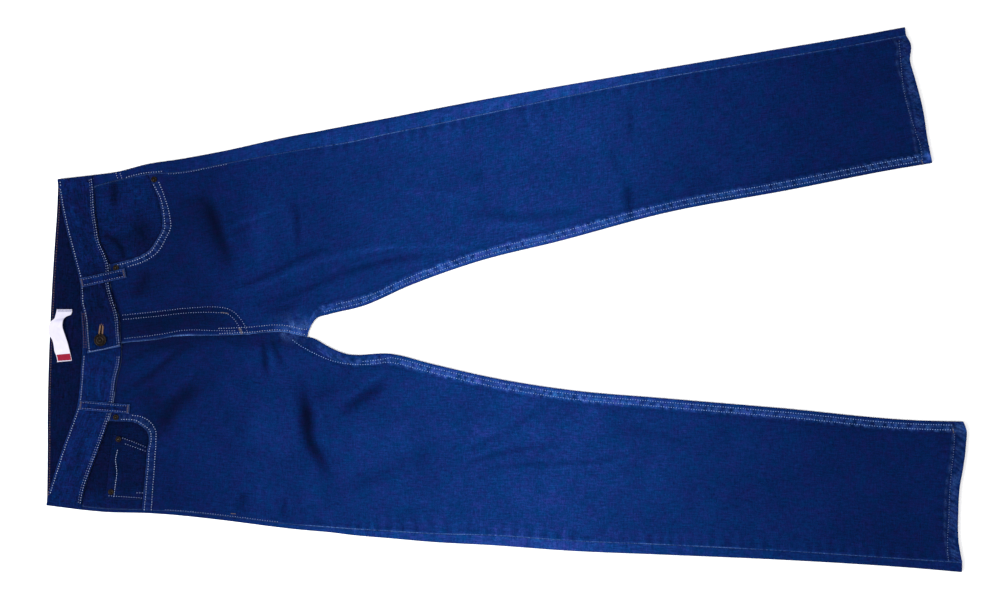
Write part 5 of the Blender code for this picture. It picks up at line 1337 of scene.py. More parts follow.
# Creases of the band, in the view's units like the legs': their change of shade is painted shade in the troughs and
# painted light on the ridges.
BAND_STROKES = [
    ([(78, 180), (82, 220), (87, 257)], 1.8, -0.14, -0.3), ([(70, 193), (77, 225), (83, 254)], 2.2, 0.14, 0.3),
    ([(95.5, 214), (99, 236), (105.5, 254)], 1.6, -0.30, -0.5), ([(92, 212), (96, 236), (101, 254)], 1.8, 0.20, 0.4),
    ([(86, 232), (92, 252), (97, 268)], 1.5, -0.16, -0.3), ([(80, 240), (84, 262)], 1.6, 0.12, 0.3),
    ([(86, 288), (94, 312), (98, 330)], 1.8, -0.16, -0.3), ([(101.5, 280), (110, 296), (115, 313)], 1.6, -0.26, -0.5),
    ([(98.5, 282), (106, 298), (111, 314)], 1.6, 0.18, 0.4), ([(90, 292), (98, 310)], 1.5, 0.12, 0.3),
    ([(110, 318), (113, 336), (114, 346)], 2.0, -0.12, -0.3), ([(94, 344), (104, 341)], 2.0, -0.10, -0.2),
    ([(90, 362), (88, 380), (86.5, 398)], 1.8, 0.14, 0.3), ([(95, 364), (94, 382), (93, 400)], 1.6, -0.16, -0.3),
    ([(100.5, 366), (99.5, 384), (98, 401)], 1.8, 0.16, 0.4), ([(106, 362), (104.5, 380), (103, 400)], 1.5, -0.18, -0.3),
    ([(85, 418), (74, 445), (62, 472)], 2.2, 0.12, 0.3), ([(92, 420), (80, 450), (68, 480)], 1.8, -0.12, -0.3),
    ([(100, 423), (88, 452), (76, 480)], 2.0, 0.12, 0.3), ([(82, 452), (76, 468)], 1.6, -0.16, -0.3),
    ([(70, 436), (62, 458)], 2.0, -0.10, -0.2), ([(92, 470), (86, 490)], 1.8, 0.14, 0.3), ([(84, 486), (80, 500)], 1.6, -0.18, -0.3),
]


def band_piece():
    grid = band_rows()
    x, y, z = grid[..., 0], grid[..., 1], grid[..., 2]
    count = len(grid)
    share = np.linspace(0.0, 1.0, 30)[None, :] + 0 * x
    step = np.linalg.norm(np.diff(grid[:, 15], axis=0), axis=1)
    s = np.concatenate([[0.0], np.cumsum(step)])[:, None] + 0 * x
    width = np.linalg.norm(grid[:, -1] - grid[:, 0], axis=1)[:, None]
    down = share * width
    row = np.arange(count)[:, None] + 0 * x
    front_left, front_right = row < 125, row >= count - 146
    back = ~(front_left | front_right)
    front_share = np.where(back, 0.4, 1.0)
    tone = np.where(front_left, read(BAND_TONE_LEFT, "y", "tone", y), np.where(front_right, read(BAND_TONE_RIGHT, "y", "tone", y), 0.20))
    tone = tone * (1.0 + front_share * (0.16 * field(s / 2.2, down, 9.0, 511) + 0.10 * field(s, down, 24.0, 512) + 0.10 * field(s / 1.6, down, 4.0, 514)))
    wave = ripple(s + 0.25 * down, 15.0, 513)
    fine = ripple(s, 7.2, 516)
    front = np.where(back, 0.0, 1.0)
    lifted, changed = stroked(BAND_STROKES, x, y)
    tone = np.where(back, tone, tone * changed)
    dz = front * lifted + front * (0.26 * wave * np.sin(np.pi * share) + 0.14 * fine * (np.exp(-(((down - 2.6) / 2.4) ** 2)) + np.exp(-(((width - down - 3.0) / 3.0) ** 2))))
    dz += front * 0.22 * field(x, y, 24.0, 517) * np.sin(np.pi * share)
    dz -= front * 0.30 * np.exp(-((np.minimum(down, width - down) / 0.9) ** 2))
    # the band's waves painted lighter where raised, as painted light and shade
    tone = tone * (1.0 + front * (0.07 * wave + 0.10 * fine * np.exp(-(((width - down - 3.0) / 3.4) ** 2))))
    tone = tone * (1.0 + front * 0.12 * np.exp(-((down / 1.5) ** 2)))
    wear = front * (0.05 + 0.05 * fine) * np.exp(-((down / 0.8) ** 2))
    end = np.minimum(s, s.max() - s)
    wear = wear + 0.42 * np.exp(-((s / 0.9) ** 2))
    tone = tone * (1.0 + 0.3 * np.exp(-((s / 3.0) ** 2)))
    dz = dz - 0.25 * np.exp(-((end / 1.2) ** 2)) * front
    grid = grid.copy()
    grid[..., 2] = z + dz
    cloth = np.stack([down, s, np.full_like(x, 500)], axis=-1)
    return cloth_piece("waistband_shell", "waistband", grid, 2.1, DENIM_TRIM, cloth, tone, wear, bevel=0.45)


# The buttonhole is cut through the upper end: an eye round the button's shank and a slit.
def cut_hole(obj):
    eye = [(BUTTON_X + 3.1 * np.cos(a), BUTTON_Y + 3.1 * np.sin(a)) for a in np.linspace(np.radians(110.0), np.radians(430.0), 24)]
    slit = [(BUTTON_X + 1.9, BUTTON_Y + BUTTONHOLE_LENGTH), (BUTTON_X + 1.2, BUTTON_Y + BUTTONHOLE_LENGTH)]
    outline = np.array(eye + slit)
    count = len(outline)
    low = np.column_stack([outline, np.full(count, 7.3)])
    high = np.column_stack([outline, np.full(count, 15.0)])
    sides = [[k, (k + 1) % count, count + (k + 1) % count, count + k] for k in range(count)]
    mesh = make_mesh("buttonhole_cutter", np.concatenate([low, high]), [list(range(count))[::-1], list(range(count, 2 * count))] + sides, False)
    fixed = bmesh.new()
    fixed.from_mesh(mesh)
    bmesh.ops.recalc_face_normals(fixed, faces=fixed.faces)
    fixed.to_mesh(mesh)
    fixed.free()
    cutter = bpy.data.objects.new("buttonhole_cutter", mesh)
    bpy.context.scene.collection.objects.link(cutter)
    for modifier in list(obj.modifiers):
        if modifier.type == "BEVEL":
            obj.modifiers.remove(modifier)
    boolean = obj.modifiers.new("buttonhole", "BOOLEAN")
    boolean.operation = "DIFFERENCE"
    boolean.solver = "EXACT"
    boolean.object = cutter
    bpy.context.view_layer.update()
    made = bpy.data.meshes.new_from_object(obj.evaluated_get(bpy.context.evaluated_depsgraph_get()))
    made.name = "waistband_shell_cut"
    obj.modifiers.clear()
    obj.data = made
    bpy.data.objects.remove(cutter, do_unlink=True)


BAND = band_piece()
cut_hole(BAND)


# ---- Pocket facings and coin pocket ----
def facing_grid(side):
    """The facing's sheet, from the waist seam and the outseam out to a margin past the opening."""
    leg = LEFT_LEG if side == "left" else RIGHT_LEG
    line = OPENING[side]
    out = 1.0 if side == "left" else -1.0
    tangent = np.gradient(line, axis=0)
    tangent /= np.linalg.norm(tangent, axis=1)[:, None]
    outward = np.stack([tangent[:, 1], -tangent[:, 0]], axis=1) * out
    stations = [section(leg, t)[2:4] for t in (0.0, 0.5, 1.0, 1.5, 2.0, 2.3)]
    seam = curve_points(stations, 60)
    corner = seam[0]
    start_y, corner_y = line[0, 1] - out * 12.0, corner[1] - out * GAP
    waist_y = np.linspace(start_y, corner_y, 34)
    waist = np.stack([waist_x(waist_y) + WAIST_GAP, waist_y], axis=1)
    stop = np.argmin(np.abs(seam[:, 0] - line[-1, 0] - FACING_MARGIN * 0.8))
    down = seam[np.linspace(1, stop, 26).astype(int)] - np.array([0.0, out * GAP / 2])
    near = np.concatenate([waist, down])
    samples = np.linspace(0, len(line) - 1, len(near))
    far = line + outward * FACING_MARGIN
    far = np.stack([np.interp(samples, np.arange(len(line)), far[:, k]) for k in (0, 1)], axis=1)
    far[:, 0] = np.maximum(far[:, 0], waist_x(far[:, 1]) + 4.0)
    limit = np.interp(far[:, 0], seam[:, 0], seam[:, 1]) - out * (GAP / 2 + 0.05)
    far[:, 1] = np.where(out * (far[:, 1] - limit) > 0, limit, far[:, 1])
    spread = np.linspace(0.0, 1.0, 40)[None, :, None]
    grid = near[:, None, :] + spread * (far - near)[:, None, :]
    seam_y = np.interp(grid[..., 0], seam[:, 0], seam[:, 1])
    return grid, np.abs(grid[..., 1] - seam_y)


def facing_piece(side):
    left = side == "left"
    grid, from_seam = facing_grid(side)
    x, y = grid[..., 0], grid[..., 1]
    z = support(side, x, y, from_seam, 200.0, 0.0, 0.0, FOLD_HEIGHT) + seat_detail(side, x, y)
    if left:
        # the crease across the upper facing and the slack below it, with painted shade in the crease's and the bag
        # line's troughs
        crease = folds(table(FOLD, [(-485.0, 143.0, -480.0, 116.0, 3.5, -0.9), (-476.0, 146.0, -470.0, 112.0, 6.0, 0.35), (-460.0, 96.0, -440.0, 60.0, 12.0, -0.5)]), x, y)
        tone = 0.43 * (1 - 0.74 * np.exp(-(((x + 482.5) / 5.0) ** 2) - (((y - 131.0) / 19.0) ** 2)))
        tone = tone * (1 - 0.60 * np.exp(-(((x + 448.0) / 17.0) ** 2) - (((y - 80.0) / 24.0) ** 2)))
        tone = tone * (1 - 0.28 * np.exp(-(((x + 478.0) / 12.0) ** 2) - (((y - 62.0) / 22.0) ** 2)))
        tone = tone * (1 + 0.22 * np.exp(-(((x + 452.0) / 12.0) ** 2) - (((y - 128.0) / 20.0) ** 2)))
        bag, _, _, _ = nearest_on(curve_points(in_view([(106, 236), (112, 238), (118, 243), (122, 250), (123.5, 256)]), 16), x, y)
        tone = tone * (1 - 0.60 * np.exp(-(((bag - 1.0) / 1.9) ** 2)))
        crease = crease - 0.9 * np.exp(-((bag / 2.2) ** 2)) + 0.7 * np.exp(-(((bag - 5.0) / 3.0) ** 2))
    else:
        crease = folds(table(FOLD, [(-476.0, -152.0, -458.0, -168.0, 4.0, -0.5)]), x, y)
        tone = 0.205 + 0.0 * x
        tone = tone * (1 + 0.7 * smooth((-y - 232.0) / 16.0))
        tone = tone * (1 + 0.25 * smooth((y + 178.0) / 12.0) * smooth((x + 470.0) / 12.0))
    gap = np.abs(opening_distance(side, x, y)[0])
    shadow = 1.0 - 0.35 * np.exp(-((gap / 2.6) ** 2))
    tone = tone * shadow * (1 + 0.09 * field(x, y, 16.0, 601) + 0.06 * field(x, y, 6.0, 602))
    # painted shadow of the waistband
    below = np.maximum(x - waist_x(y), 0.0)
    tone = tone * (1.0 - 0.30 * np.exp(-((below / 4.5) ** 2)))
    wear = 0.20 * np.exp(-((from_seam / 1.0) ** 2))
    cloth = np.stack([y + 400.0, x + 700.0, np.full_like(x, 600 if left else 640)], axis=-1)
    return cloth_piece(
        "facing_" + side, "pocket_facing_" + side, np.stack([x, y, z + 0.6 * crease], axis=-1), 1.0, DENIM_POCKET,
        cloth, tone, wear, flip=not left, bevel=0.0,
    )


FACINGS = {side: facing_piece(side) for side in ("left", "right")}


def coin_piece():
    edges = curve_points(np.stack([COIN_POCKET[name] for name in "open_x open_y deep_x deep_y".split()], axis=1), 56)
    spread = np.linspace(0.0, 1.0, 40)[None, :]
    x = edges[:, 0:1] + (edges[:, 2:3] - edges[:, 0:1]) * spread
    y = edges[:, 1:2] + (edges[:, 3:4] - edges[:, 1:2]) * spread
    seam_y = np.interp(x, RIGHT_LEG["seam_x"], RIGHT_LEG["seam_y"])
    z = support("right", x, y, np.abs(y - seam_y), 200.0, 0.0, 0.0, FOLD_HEIGHT) + seat_detail("right", x, y) + 1.0 + AIR
    from_open = np.hypot(x - x[:, :1], y - y[:, :1])
    walked = np.concatenate([[0.0], np.cumsum(np.hypot(np.diff(x[:, 0]), np.diff(y[:, 0])))])[:, None] + 0 * x
    from_upper, from_lower = walked, walked.max() - walked
    edge = np.minimum(from_upper, from_lower)
    bow = 0.35 * field(x, y, 22.0, 651) * smooth(edge / 8.0)
    z = z + bow + 0.22 * np.exp(-((from_open / 5.0) ** 4)) - 0.25 * np.exp(-((edge / 1.0) ** 2))
    tone = 0.235 * (1 + 0.16 * field(x, y, 15.0, 652) + 0.08 * field(x, y, 6.0, 653))
    tone = tone * (1 + 0.35 * np.exp(-(((y + 240.0) / 7.0) ** 2)))
    tone = tone * (1 + 0.12 * np.exp(-((from_open / 4.5) ** 4)))
    # painted shadow of the front's edge along the pocket opening
    gap = np.abs(opening_distance("right", x, y)[0])
    tone = tone * (1.0 - 0.35 * np.exp(-((gap / 2.6) ** 2)))
    wear = 0.03 * np.exp(-((edge / 0.9) ** 2))
    cloth = np.stack([y + 400.0, x + 700.0, np.full_like(x, 660)], axis=-1)
    return cloth_piece("coin_pocket_shell", "coin_pocket", np.stack([x, y, z], axis=-1), 0.9, DENIM_POCKET, cloth, tone, wear, flip=True, bevel=0.25)


COIN = coin_piece()


# ---- Belt loops ----
def highest_under(height, x, y, reach):
    turn = np.linspace(0.0, 2 * np.pi, 13)
    xs = np.concatenate([[x], x + reach * np.cos(turn)])
    ys = np.concatenate([[y], y + reach * np.sin(turn)])
    return float(np.max(height(xs, ys)))


def loop_piece(name, node, start, end, heights, arch, wall=1.15, flip=True, flat=False, tone_at=0.5):
    start, end = np.array(start, float), np.array(end, float)
    d = (end - start) / np.linalg.norm(end - start)
    sideways = np.array([-d[1], d[0]])
    length = np.linalg.norm(end - start)
    f = np.linspace(0.0, 1.0, 46)
    across = np.array([1.0, 0.93, 0.82, 0.66, 0.5, 0.33, 0.16, 0.0, -0.16, -0.33, -0.5, -0.66, -0.82, -0.93, -1.0]) * LOOP_WIDTH / 2
    base = np.interp(f, heights[0], heights[1]) + arch * np.sin(np.pi * f) ** 0.7
    seed = 700 + len(name)
    s = f[:, None] * length + 0 * across[None, :]
    a = across[None, :] + 0 * s
    width = 1.0 + 0.03 * field(s, 0.0, 14.0, seed)
    x = start[0] + d[0] * s - sideways[0] * a * width
    y = start[1] + d[1] * s - sideways[1] * a * width
    wave = ripple(s, 8.5, seed)
    z = base[:, None] + 0 * a
    if not flat:
        seam_groove = -0.18 * np.exp(-(((np.abs(a) - 3.5) / 0.8) ** 2))
        z = z + seam_groove + 0.12 * wave + 0.10 * field(s, a, 5.0, seed + 1) - 0.25 * (np.abs(a) / (LOOP_WIDTH / 2)) ** 8
        ends = np.minimum(s, length - s)
        z = z - 0.35 * np.exp(-((ends / 2.2) ** 2))
    tone = tone_at * (1 + 0.16 * wave + 0.12 * field(s, a, 7.0, seed + 2))
    tone = tone * (1 + 0.35 * np.exp(-(((np.abs(a) - LOOP_WIDTH / 2) / 1.1) ** 2)))
    wear = 0.20 * np.exp(-(((np.abs(a) - LOOP_WIDTH / 2) / 0.7) ** 2)) + 0.22 * np.exp(-((np.minimum(s, length - s) / 1.2) ** 2))
    cloth = np.stack([a + 10.0, s, np.full_like(s, seed)], axis=-1)
    return cloth_piece(name, node, np.stack([x, y, z], axis=-1), wall, DENIM_TRIM, cloth, tone, wear, flip=flip, bevel=0.3)


LEFT_LOOP = ((-523.6, 20.6), (-468.4, 32.9))
RIGHT_LOOP = ((-525.6, -129.6), (-463.5, -134.5))
left_low = highest_under(lambda x, y: front_top("left", x, y), LEFT_LOOP[1][0] - 3.0, LEFT_LOOP[1][1], 9.0) + AIR + LOOP_WALL
right_low = highest_under(lambda x, y: front_top("right", x, y), RIGHT_LOOP[1][0] - 3.0, RIGHT_LOOP[1][1], 9.0) + AIR + LOOP_WALL
loop_piece("loop_front_left", "belt_loop_front_left", *LEFT_LOOP,
           ([0.0, 0.62, 0.8, 1.0], [8.9 + AIR + LOOP_WALL, 8.9 + AIR + LOOP_WALL, left_low + 1.0, left_low + 0.7]), 0.6, tone_at=0.42)
loop_piece("loop_front_right", "belt_loop_front_right", *RIGHT_LOOP,
           ([0.0, 0.66, 0.8, 1.0], [7.5 + AIR + LOOP_WALL, 7.5 + AIR + LOOP_WALL, right_low + 1.0, right_low + 0.7]), 0.6, tone_at=0.5)
for name, y, x in (("left", 62.0, -556.0), ("centre", -52.0, -561.8), ("right", -166.0, -563.6)):
    loop_piece("loop_back_" + name, "belt_loop_back_" + name, (x, y), (x + 60.0, y), ([0.0, 1.0], [0.0, 0.0]), 0.0, wall=1.1, flip=False, flat=True, tone_at=0.5)


# ---- Back pockets, on the underside ----
for name, x0, y0, angle in zip(PATCH_NAMES, PATCHES["x"], PATCHES["y"], np.radians(PATCHES["angle"])):
    s = np.linspace(-1.0, 1.0, 61)[:, None]
    f = np.linspace(0.0, 1.0, 61)[None, :]
    reach = PATCH_LENGTH - (PATCH_LENGTH - PATCH_SIDE) * np.abs(s)
    along, across = f * reach, s * PATCH_WIDTH / 2 * (1.0 - 0.08 * f)
    x = x0 + along * np.cos(angle) - across * np.sin(angle)
    y = y0 + along * np.sin(angle) + across * np.cos(angle)
    rim = np.minimum(np.minimum(PATCH_WIDTH / 2 - np.abs(across), along), reach - along)
    tone = 0.75 * (1 + 0.10 * field(x, y, 22.0, 801)) * (1 + 0.25 * np.exp(-((rim / 2.0) ** 2)))
    wear = 0.35 * np.exp(-((rim / 0.9) ** 2))
    cloth = np.stack([across + 200.0, along, np.full_like(x, 800)], axis=-1)
    cloth_piece(name + "_patch", name, np.stack([x, y, 0.0 * x], axis=-1), WALL, DENIM_BACK, cloth, tone, wear, flip=True, bevel=0.25)


# ---- Label ----
LABEL_EDGES = [  # left and right edge in the view's units, height in mm
    (56.8, 309.3, 72.1, 309.3, 4.5), (56.4, 312.0, 72.1, 312.1, 4.6), (55.6, 315.5, 70.9, 314.6, 5.6), (54.4, 318.8, 66.8, 316.4, 6.6),
    (51.4, 321.2, 64.2, 318.9, 7.2), (49.3, 325.2, 63.1, 322.2, 7.4), (48.5, 330.2, 62.9, 326.6, 7.5), (49.7, 335.3, 64.2, 331.6, 7.4),
    (52.5, 339.4, 66.1, 337.1, 7.1), (53.9, 345.0, 68.2, 343.6, 6.6), (54.7, 351.4, 69.6, 349.4, 5.8), (56.2, 355.2, 70.6, 353.9, 5.2),
    (57.3, 359.8, 71.6, 358.6, 4.7), (57.2, 362.1, 71.8, 360.7, 4.5),
]


def label_piece():
    edges = np.array(LABEL_EDGES)
    rows = np.linspace(0.0, len(edges) - 1.0, 78)
    at = np.arange(len(edges))
    left = hermite(in_view(edges[:, 0:2]), at, rows)
    right = hermite(in_view(edges[:, 2:4]), at, rows)
    f = np.linspace(0.0, 1.0, 18)[None, :]
    x = left[:, 0:1] + (right - left)[:, 0:1] * f
    y = left[:, 1:2] + (right - left)[:, 1:2] * f
    s = np.concatenate([[0.0], np.cumsum(np.hypot(*np.diff((left + right) / 2, axis=0).T))])[:, None] + 0 * f
    w = (f - 0.5) * np.hypot(*(right - left).T)[:, None]
    base = np.interp(rows, at, edges[:, 4])[:, None]
    loose = np.sin(np.pi * np.clip(s / s.max(), 0.0, 1.0))
    # the loose stretch twists: its right edge turns down near the upper end, its left edge lies over the band's edge
    z = base + loose * (0.45 * field(s, w, 10.0, 901) + 0.5 * np.sin(s / 7.5) * (f - 0.5))
    fold = np.exp(-(((rows[:, None] - 3.2) / 0.9) ** 2))
    z = z + 0.5 * fold * (1 - f) - 0.5 * fold * f
    view_y = 299.7 - y / VIEW_MM
    top = 354.4 - 1.0 * f
    red = np.clip((view_y - top) * 2.2, 0.0, 1.0) * np.clip((361.2 - 1.2 * f - view_y) * 3.0, 0.0, 1.0) * np.clip(f * 14.0, 0.0, 1.0) * np.clip((1.0 - f) * 18.0, 0.0, 1.0)
    cloth = np.stack([w + 20.0, s, np.full_like(w, 900)], axis=-1)
    # painted shade where the label folds and at its sewn upper end, held in the wear attribute
    shadow = 0.55 * np.exp(-(((rows[:, None] - 4.0) / 0.55) ** 2)) * f + 0.35 * np.exp(-(((rows[:, None] - 0.45) / 0.5) ** 2))
    return cloth_piece("label_strip", "inner_label", np.stack([x, y, z], axis=-1), 0.5, LABEL, cloth, red, wear=shadow, flip=True, bevel=0.0)


label_piece()


# ---- Stitches ----
def seat_points(piece, points, below=False, add=0.0):
    """The points on a sheet's outer face, with nan where it has none."""
    tree = SURFACE[piece]
    found = np.full((len(points), 3), np.nan)
    down = Vector((0.0, 0.0, 1.0 if below else -1.0))
    for k, (x, y) in enumerate(points):
        hit = tree.ray_cast(Vector((float(x), float(y), -60.0 if below else 60.0)), down)[0]
        if hit is not None:
            found[k] = (x, y, hit.z + add)
    return found


def resampled(line, step):
    line = np.asarray(line, float)
    walked = np.concatenate([[0.0], np.cumsum(np.hypot(*np.diff(line, axis=0).T))])
    count = max(int(round(walked[-1] / step)), 1)
    at = np.linspace(0.0, walked[-1], count + 1)
    return np.stack([np.interp(at, walked, line[:, k]) for k in (0, 1)], axis=1)


THREADS = {}


def lay_threads(kind, starts, ends, width=0.36, rise=0.30, up=1.0):
    """Collects single threads, each from its start to its end, bowed off the cloth between."""
    good = ~(np.isnan(starts).any(axis=1) | np.isnan(ends).any(axis=1))
    if good.any():
        THREADS.setdefault(kind, []).append((starts[good], ends[good], width, rise, up))


def sew(kind, piece, line, pitch=3.1, fill=0.40, width=0.50, rise=0.30, below=False, add=0.0, curved=True, wobble=0.12):
    """A row of stitches along a line on one sheet."""
    line = np.asarray(line, float)
    if curved and len(line) > 2:
        line = curve_points(line, max(8 * len(line), 24))
    points = resampled(line, pitch)
    step = np.diff(points, axis=0)
    length = np.hypot(*step.T)[:, None]
    side_step = np.stack([-step[:, 1], step[:, 0]], axis=1) / length
    rng = np.random.RandomState(int(abs(line[0, 0] * 7 + line[0, 1] * 13)) % 9999)
    off = side_step * rng.normal(0.0, wobble, (len(step), 1))
    start = points[:-1] + step * (1 - fill) / 2 + off
    end = points[1:] - step * (1 - fill) / 2 + side_step * rng.normal(0.0, wobble, (len(step), 1))
    lay_threads(kind, seat_points(piece, start, below, add), seat_points(piece, end, below, add), width, rise, -1.0 if below else 1.0)


def offset_line(line, by):
    """A line moved sideways, to its left where by is positive."""
    line = np.asarray(line, float)
    d = np.gradient(line, axis=0)
    d /= np.hypot(*d.T)[:, None]
    return line + np.stack([-d[:, 1], d[:, 0]], axis=1) * by


def bartack(kind, piece, a, b, depth, add=0.0, pitch=0.55, width=0.24):
    """A bar of close threads laid across a short line."""
    a, b = np.array(a, float), np.array(b, float)
    d = (b - a) / np.linalg.norm(b - a)
    n = np.array([-d[1], d[0]])
    count = int(np.linalg.norm(b - a) / pitch)
    f = (np.arange(count) + 0.5) / count
    middle = a + (b - a) * f[:, None]
    zig = np.where(np.arange(count) % 2, 1.0, -1.0)[:, None] * d * 0.3
    lay_threads(kind, seat_points(piece, middle - n * depth / 2 - zig, add=add), seat_points(piece, middle + n * depth / 2 + zig, add=add), width, 0.5)


def leg_row(side, distance, start, stop, from_seam=False, step=0.05):
    """A line at that distance from the panel's inner boundary, or from the outseam."""
    line = []
    for t in np.arange(start, stop, step):
        x, y, _, along, edge = front_line(side, float(t), 60)
        flat = slice(0, len(x) - len(TURN) + 1)
        if from_seam:
            line.append((np.interp(distance, along[flat], x[flat]), np.interp(distance, along[flat], y[flat])))
        else:
            line.append((np.interp(-distance, -edge[flat], x[flat]), np.interp(-distance, -edge[flat], y[flat])))
    return np.array(line)


# inseams: two rows down both legs
for side in ("left", "right"):
    for distance in (4.6, 10.6):
        line = leg_row(side, distance, 6.6 if distance < 8 else 6.9, HEM_ROW - 0.02)
        walked = np.concatenate([[0.0], np.cumsum(np.hypot(*np.diff(line, axis=0).T))])
        line = line[walked < walked[-1] - 12.0]
        if side == "right":
            # the seam rolls under beside the fork, so the rows lie farther in there and one of them starts late
            start = in_view([(292, 339.5), (300, 345.5), (309, 350.6), (320, 356), (331, 360.4), (345, 363.4), (359, 364.6), (372, 364.0), (384, 362.6)] if distance > 8
                            else [(362, 361.6), (374, 360.4), (386, 358.6)])
            line = np.concatenate([curve_points(start, 40), line[line[:, 0] > start[-1, 0] + 5.0]])
        else:
            line = line[line[:, 0] > in_view([(334.0 if distance > 8 else 323.0, 300.0)])[0, 0]]
        sew("blue", "front_" + side, line, curved=False, width=0.54)
# hems
sew("tan", "front_left", in_view([(899, 40), (901, 63.6), (903, 85), (907, 104), (912, 121), (916.6, 134.5), (920, 144), (922.6, 163)]), width=0.34)
sew("tan", "front_right", in_view([(955, 430.5), (953.4, 453), (951.5, 471), (949.6, 495), (949, 514), (947.7, 537), (948.3, 558.6), (950, 566)]), width=0.34)
# fly
sew("fine", "front_left", in_view([(121.8, 315.3), (158, 311.4), (195, 307.6), (219, 307.2), (231, 310), (240, 318), (246.6, 329), (248.4, 334)]), width=0.44)
sew("fine", "front_left", in_view([(122.7, 319.6), (157, 316.2), (191.5, 312.7), (219, 312.7), (227, 313.6), (234.6, 319.6), (240.6, 329), (243, 333)]), width=0.44)
sew("fine", "front_left", in_view([(124, 338.6), (160.5, 334.3), (186, 330), (212, 330.5), (236, 330.8)]), width=0.42)
sew("pale", "front_left", leg_row("left", 1.9, 3.1, 6.0), width=0.46)
sew("pale", "front_left", leg_row("left", 8.6, 3.1, 6.2), width=0.42)
# pocket edges
sew("pale", "front_left", in_view([(153.4, 184), (160.5, 197.5), (164, 213.6), (164.6, 229.6), (159.6, 238.6), (150.7, 252), (141, 258), (125.7, 263), (117, 265)]))
sew("pale", "front_left", in_view([(158.8, 181.4), (165, 197.5), (169.5, 213.6), (170.4, 229.6), (166.8, 236.8), (157, 253), (147, 260), (127.5, 267)]))
sew("pale", "front_right", in_view([(120.6, 419.3), (136, 420.3), (144, 425), (150.7, 431), (151.7, 439), (149.7, 449.4), (148.7, 464.7), (147, 482), (146, 497), (144.6, 510.6)]))
sew("pale", "front_right", in_view([(131.8, 415.2), (142, 416.7), (150.2, 421.8), (155.8, 430), (156.3, 441), (155.3, 456.5), (154.3, 472), (152.8, 492), (151.7, 510.6)]))
# coin pocket
sew("pale", "coin_pocket_shell", in_view([(118, 449.4), (116, 457.6), (117, 472), (115.5, 485), (114, 497.3)]), width=0.34, fill=0.72, pitch=2.9)
for line in ([(121.8, 437.6), (134, 442), (146.6, 447.4)], [(124.5, 443.5), (135, 447.2), (146.6, 451.4)], [(108, 495.6), (115, 496), (143, 498)], [(136, 492.6), (144, 492.8)]):
    sew("fine", "coin_pocket_shell", in_view(line), width=0.46)
# waistband: one row inside the upper edge, a chained pair above the seam
SPANS = (("left", -60.0, 153.0), ("right", -255.0, -66.0))


def band_line(side, from_top, start, stop):
    tab = BAND_FRONT_LEFT if side == "left" else BAND_FRONT_RIGHT
    low_y = np.linspace(start, stop, 90)
    top = np.stack([read(tab, "low_y", "top_x", low_y), read(tab, "low_y", "top_y", low_y)], axis=1)
    low = np.stack([waist_x(low_y), low_y], axis=1)
    d = low - top
    d /= np.hypot(*d.T)[:, None]
    return top + d * from_top if from_top > 0 else low + d * from_top


for side, start, stop in SPANS:
    sew("pale", "waistband_shell", band_line(side, 2.6, start + 3, stop - 3), pitch=3.1, curved=False, width=0.58)
    sew("pale", "waistband_shell", band_line(side, -1.9, start + 3, stop - 3), pitch=3.1, curved=False, width=0.46)
    sew("fine", "waistband_shell", band_line(side, -4.4, start + 3, stop - 3), fill=0.36, curved=False, width=0.34)
sew("fine", "waistband_shell", in_view([(89.6, 351.6), (104, 349.0), (119.0, 345.2)]), fill=0.5, width=0.42)
sew("pale", "waistband_shell", in_view([(60.2, 181.0), (61.2, 186.5)]), curved=False, width=0.58)
# the back of the band, inside: brown rows near its upper edge
inner_top = np.stack([BAND_BACK["top_x"], BAND_BACK["top_y"]], axis=1)
inner_row = offset_line(curve_points(inner_top, 80), 2.7)
sew("brown", "waistband_shell", inner_row, pitch=3.2, fill=0.45, curved=False, add=2.1, width=0.58)
sew("brown", "waistband_shell", band_line("right", 1.8, -60.0, -15.0), curved=False)
sew("brown", "waistband_shell", band_line("right", 4.6, -60.0, -15.0), curved=False)
# belt loops: two rows each and a bar at each end
for name, (start, end), side in (("left", LEFT_LOOP, 1), ("right", RIGHT_LOOP, 1)):
    start, end = np.array(start), np.array(end)
    d = (end - start) / np.linalg.norm(end - start)
    n = np.array([-d[1], d[0]])
    for off in (-3.5, 3.5):
        sew("fine", "loop_front_" + name, [start + d * 3.5 + n * off, end - d * 3.5 + n * off], curved=False, width=0.42)
    for at in (start + d * 2.0, end - d * 2.2):
        bartack("gold", "loop_front_" + name, at - n * 4.9, at + n * 4.9, 2.4, pitch=0.95, width=0.26)
# outseam topstitching, from the waist to below the pockets
sew("pale", "back_left", in_view([(121, 181.0), (129, 178), (145, 174.3), (163, 172.8)]) + [0.0, 1.6], width=0.42)
sew("fine", "front_left", leg_row("left", 1.4, 2.6, 4.1, True), width=0.40)
sew("fine", "front_right", leg_row("right", 1.4, 2.5, 5.2, True), width=0.40)
# yoke seam on the wrapped strip
for off in (-2.2, 3.0):
    sew("pale", "back_left" if off > 0 else "back_yoke_left", [(-478.6 + off, 156.6), (-476.0 + off, 148.6)], curved=False, width=0.35)
# gold bars: fly end, small tack, the outseam's end, hems
bartack("gold", "front_left", in_view([(239.6, 328.0)])[0], in_view([(242.4, 334.0)])[0], 4.4)
bartack("gold", "front_left", in_view([(221.0, 312.4)])[0], in_view([(228.6, 313.4)])[0], 1.6)
bartack("gold", "front_right", in_view([(231.0, 513.6)])[0], in_view([(236.0, 513.8)])[0], 1.6)
bartack("gold", "front_left", in_view([(921.0, 160.0)])[0], in_view([(923.6, 165.0)])[0], 1.5)
bartack("gold", "front_right", in_view([(952.6, 428.0)])[0], in_view([(953.6, 433.0)])[0], 1.5)
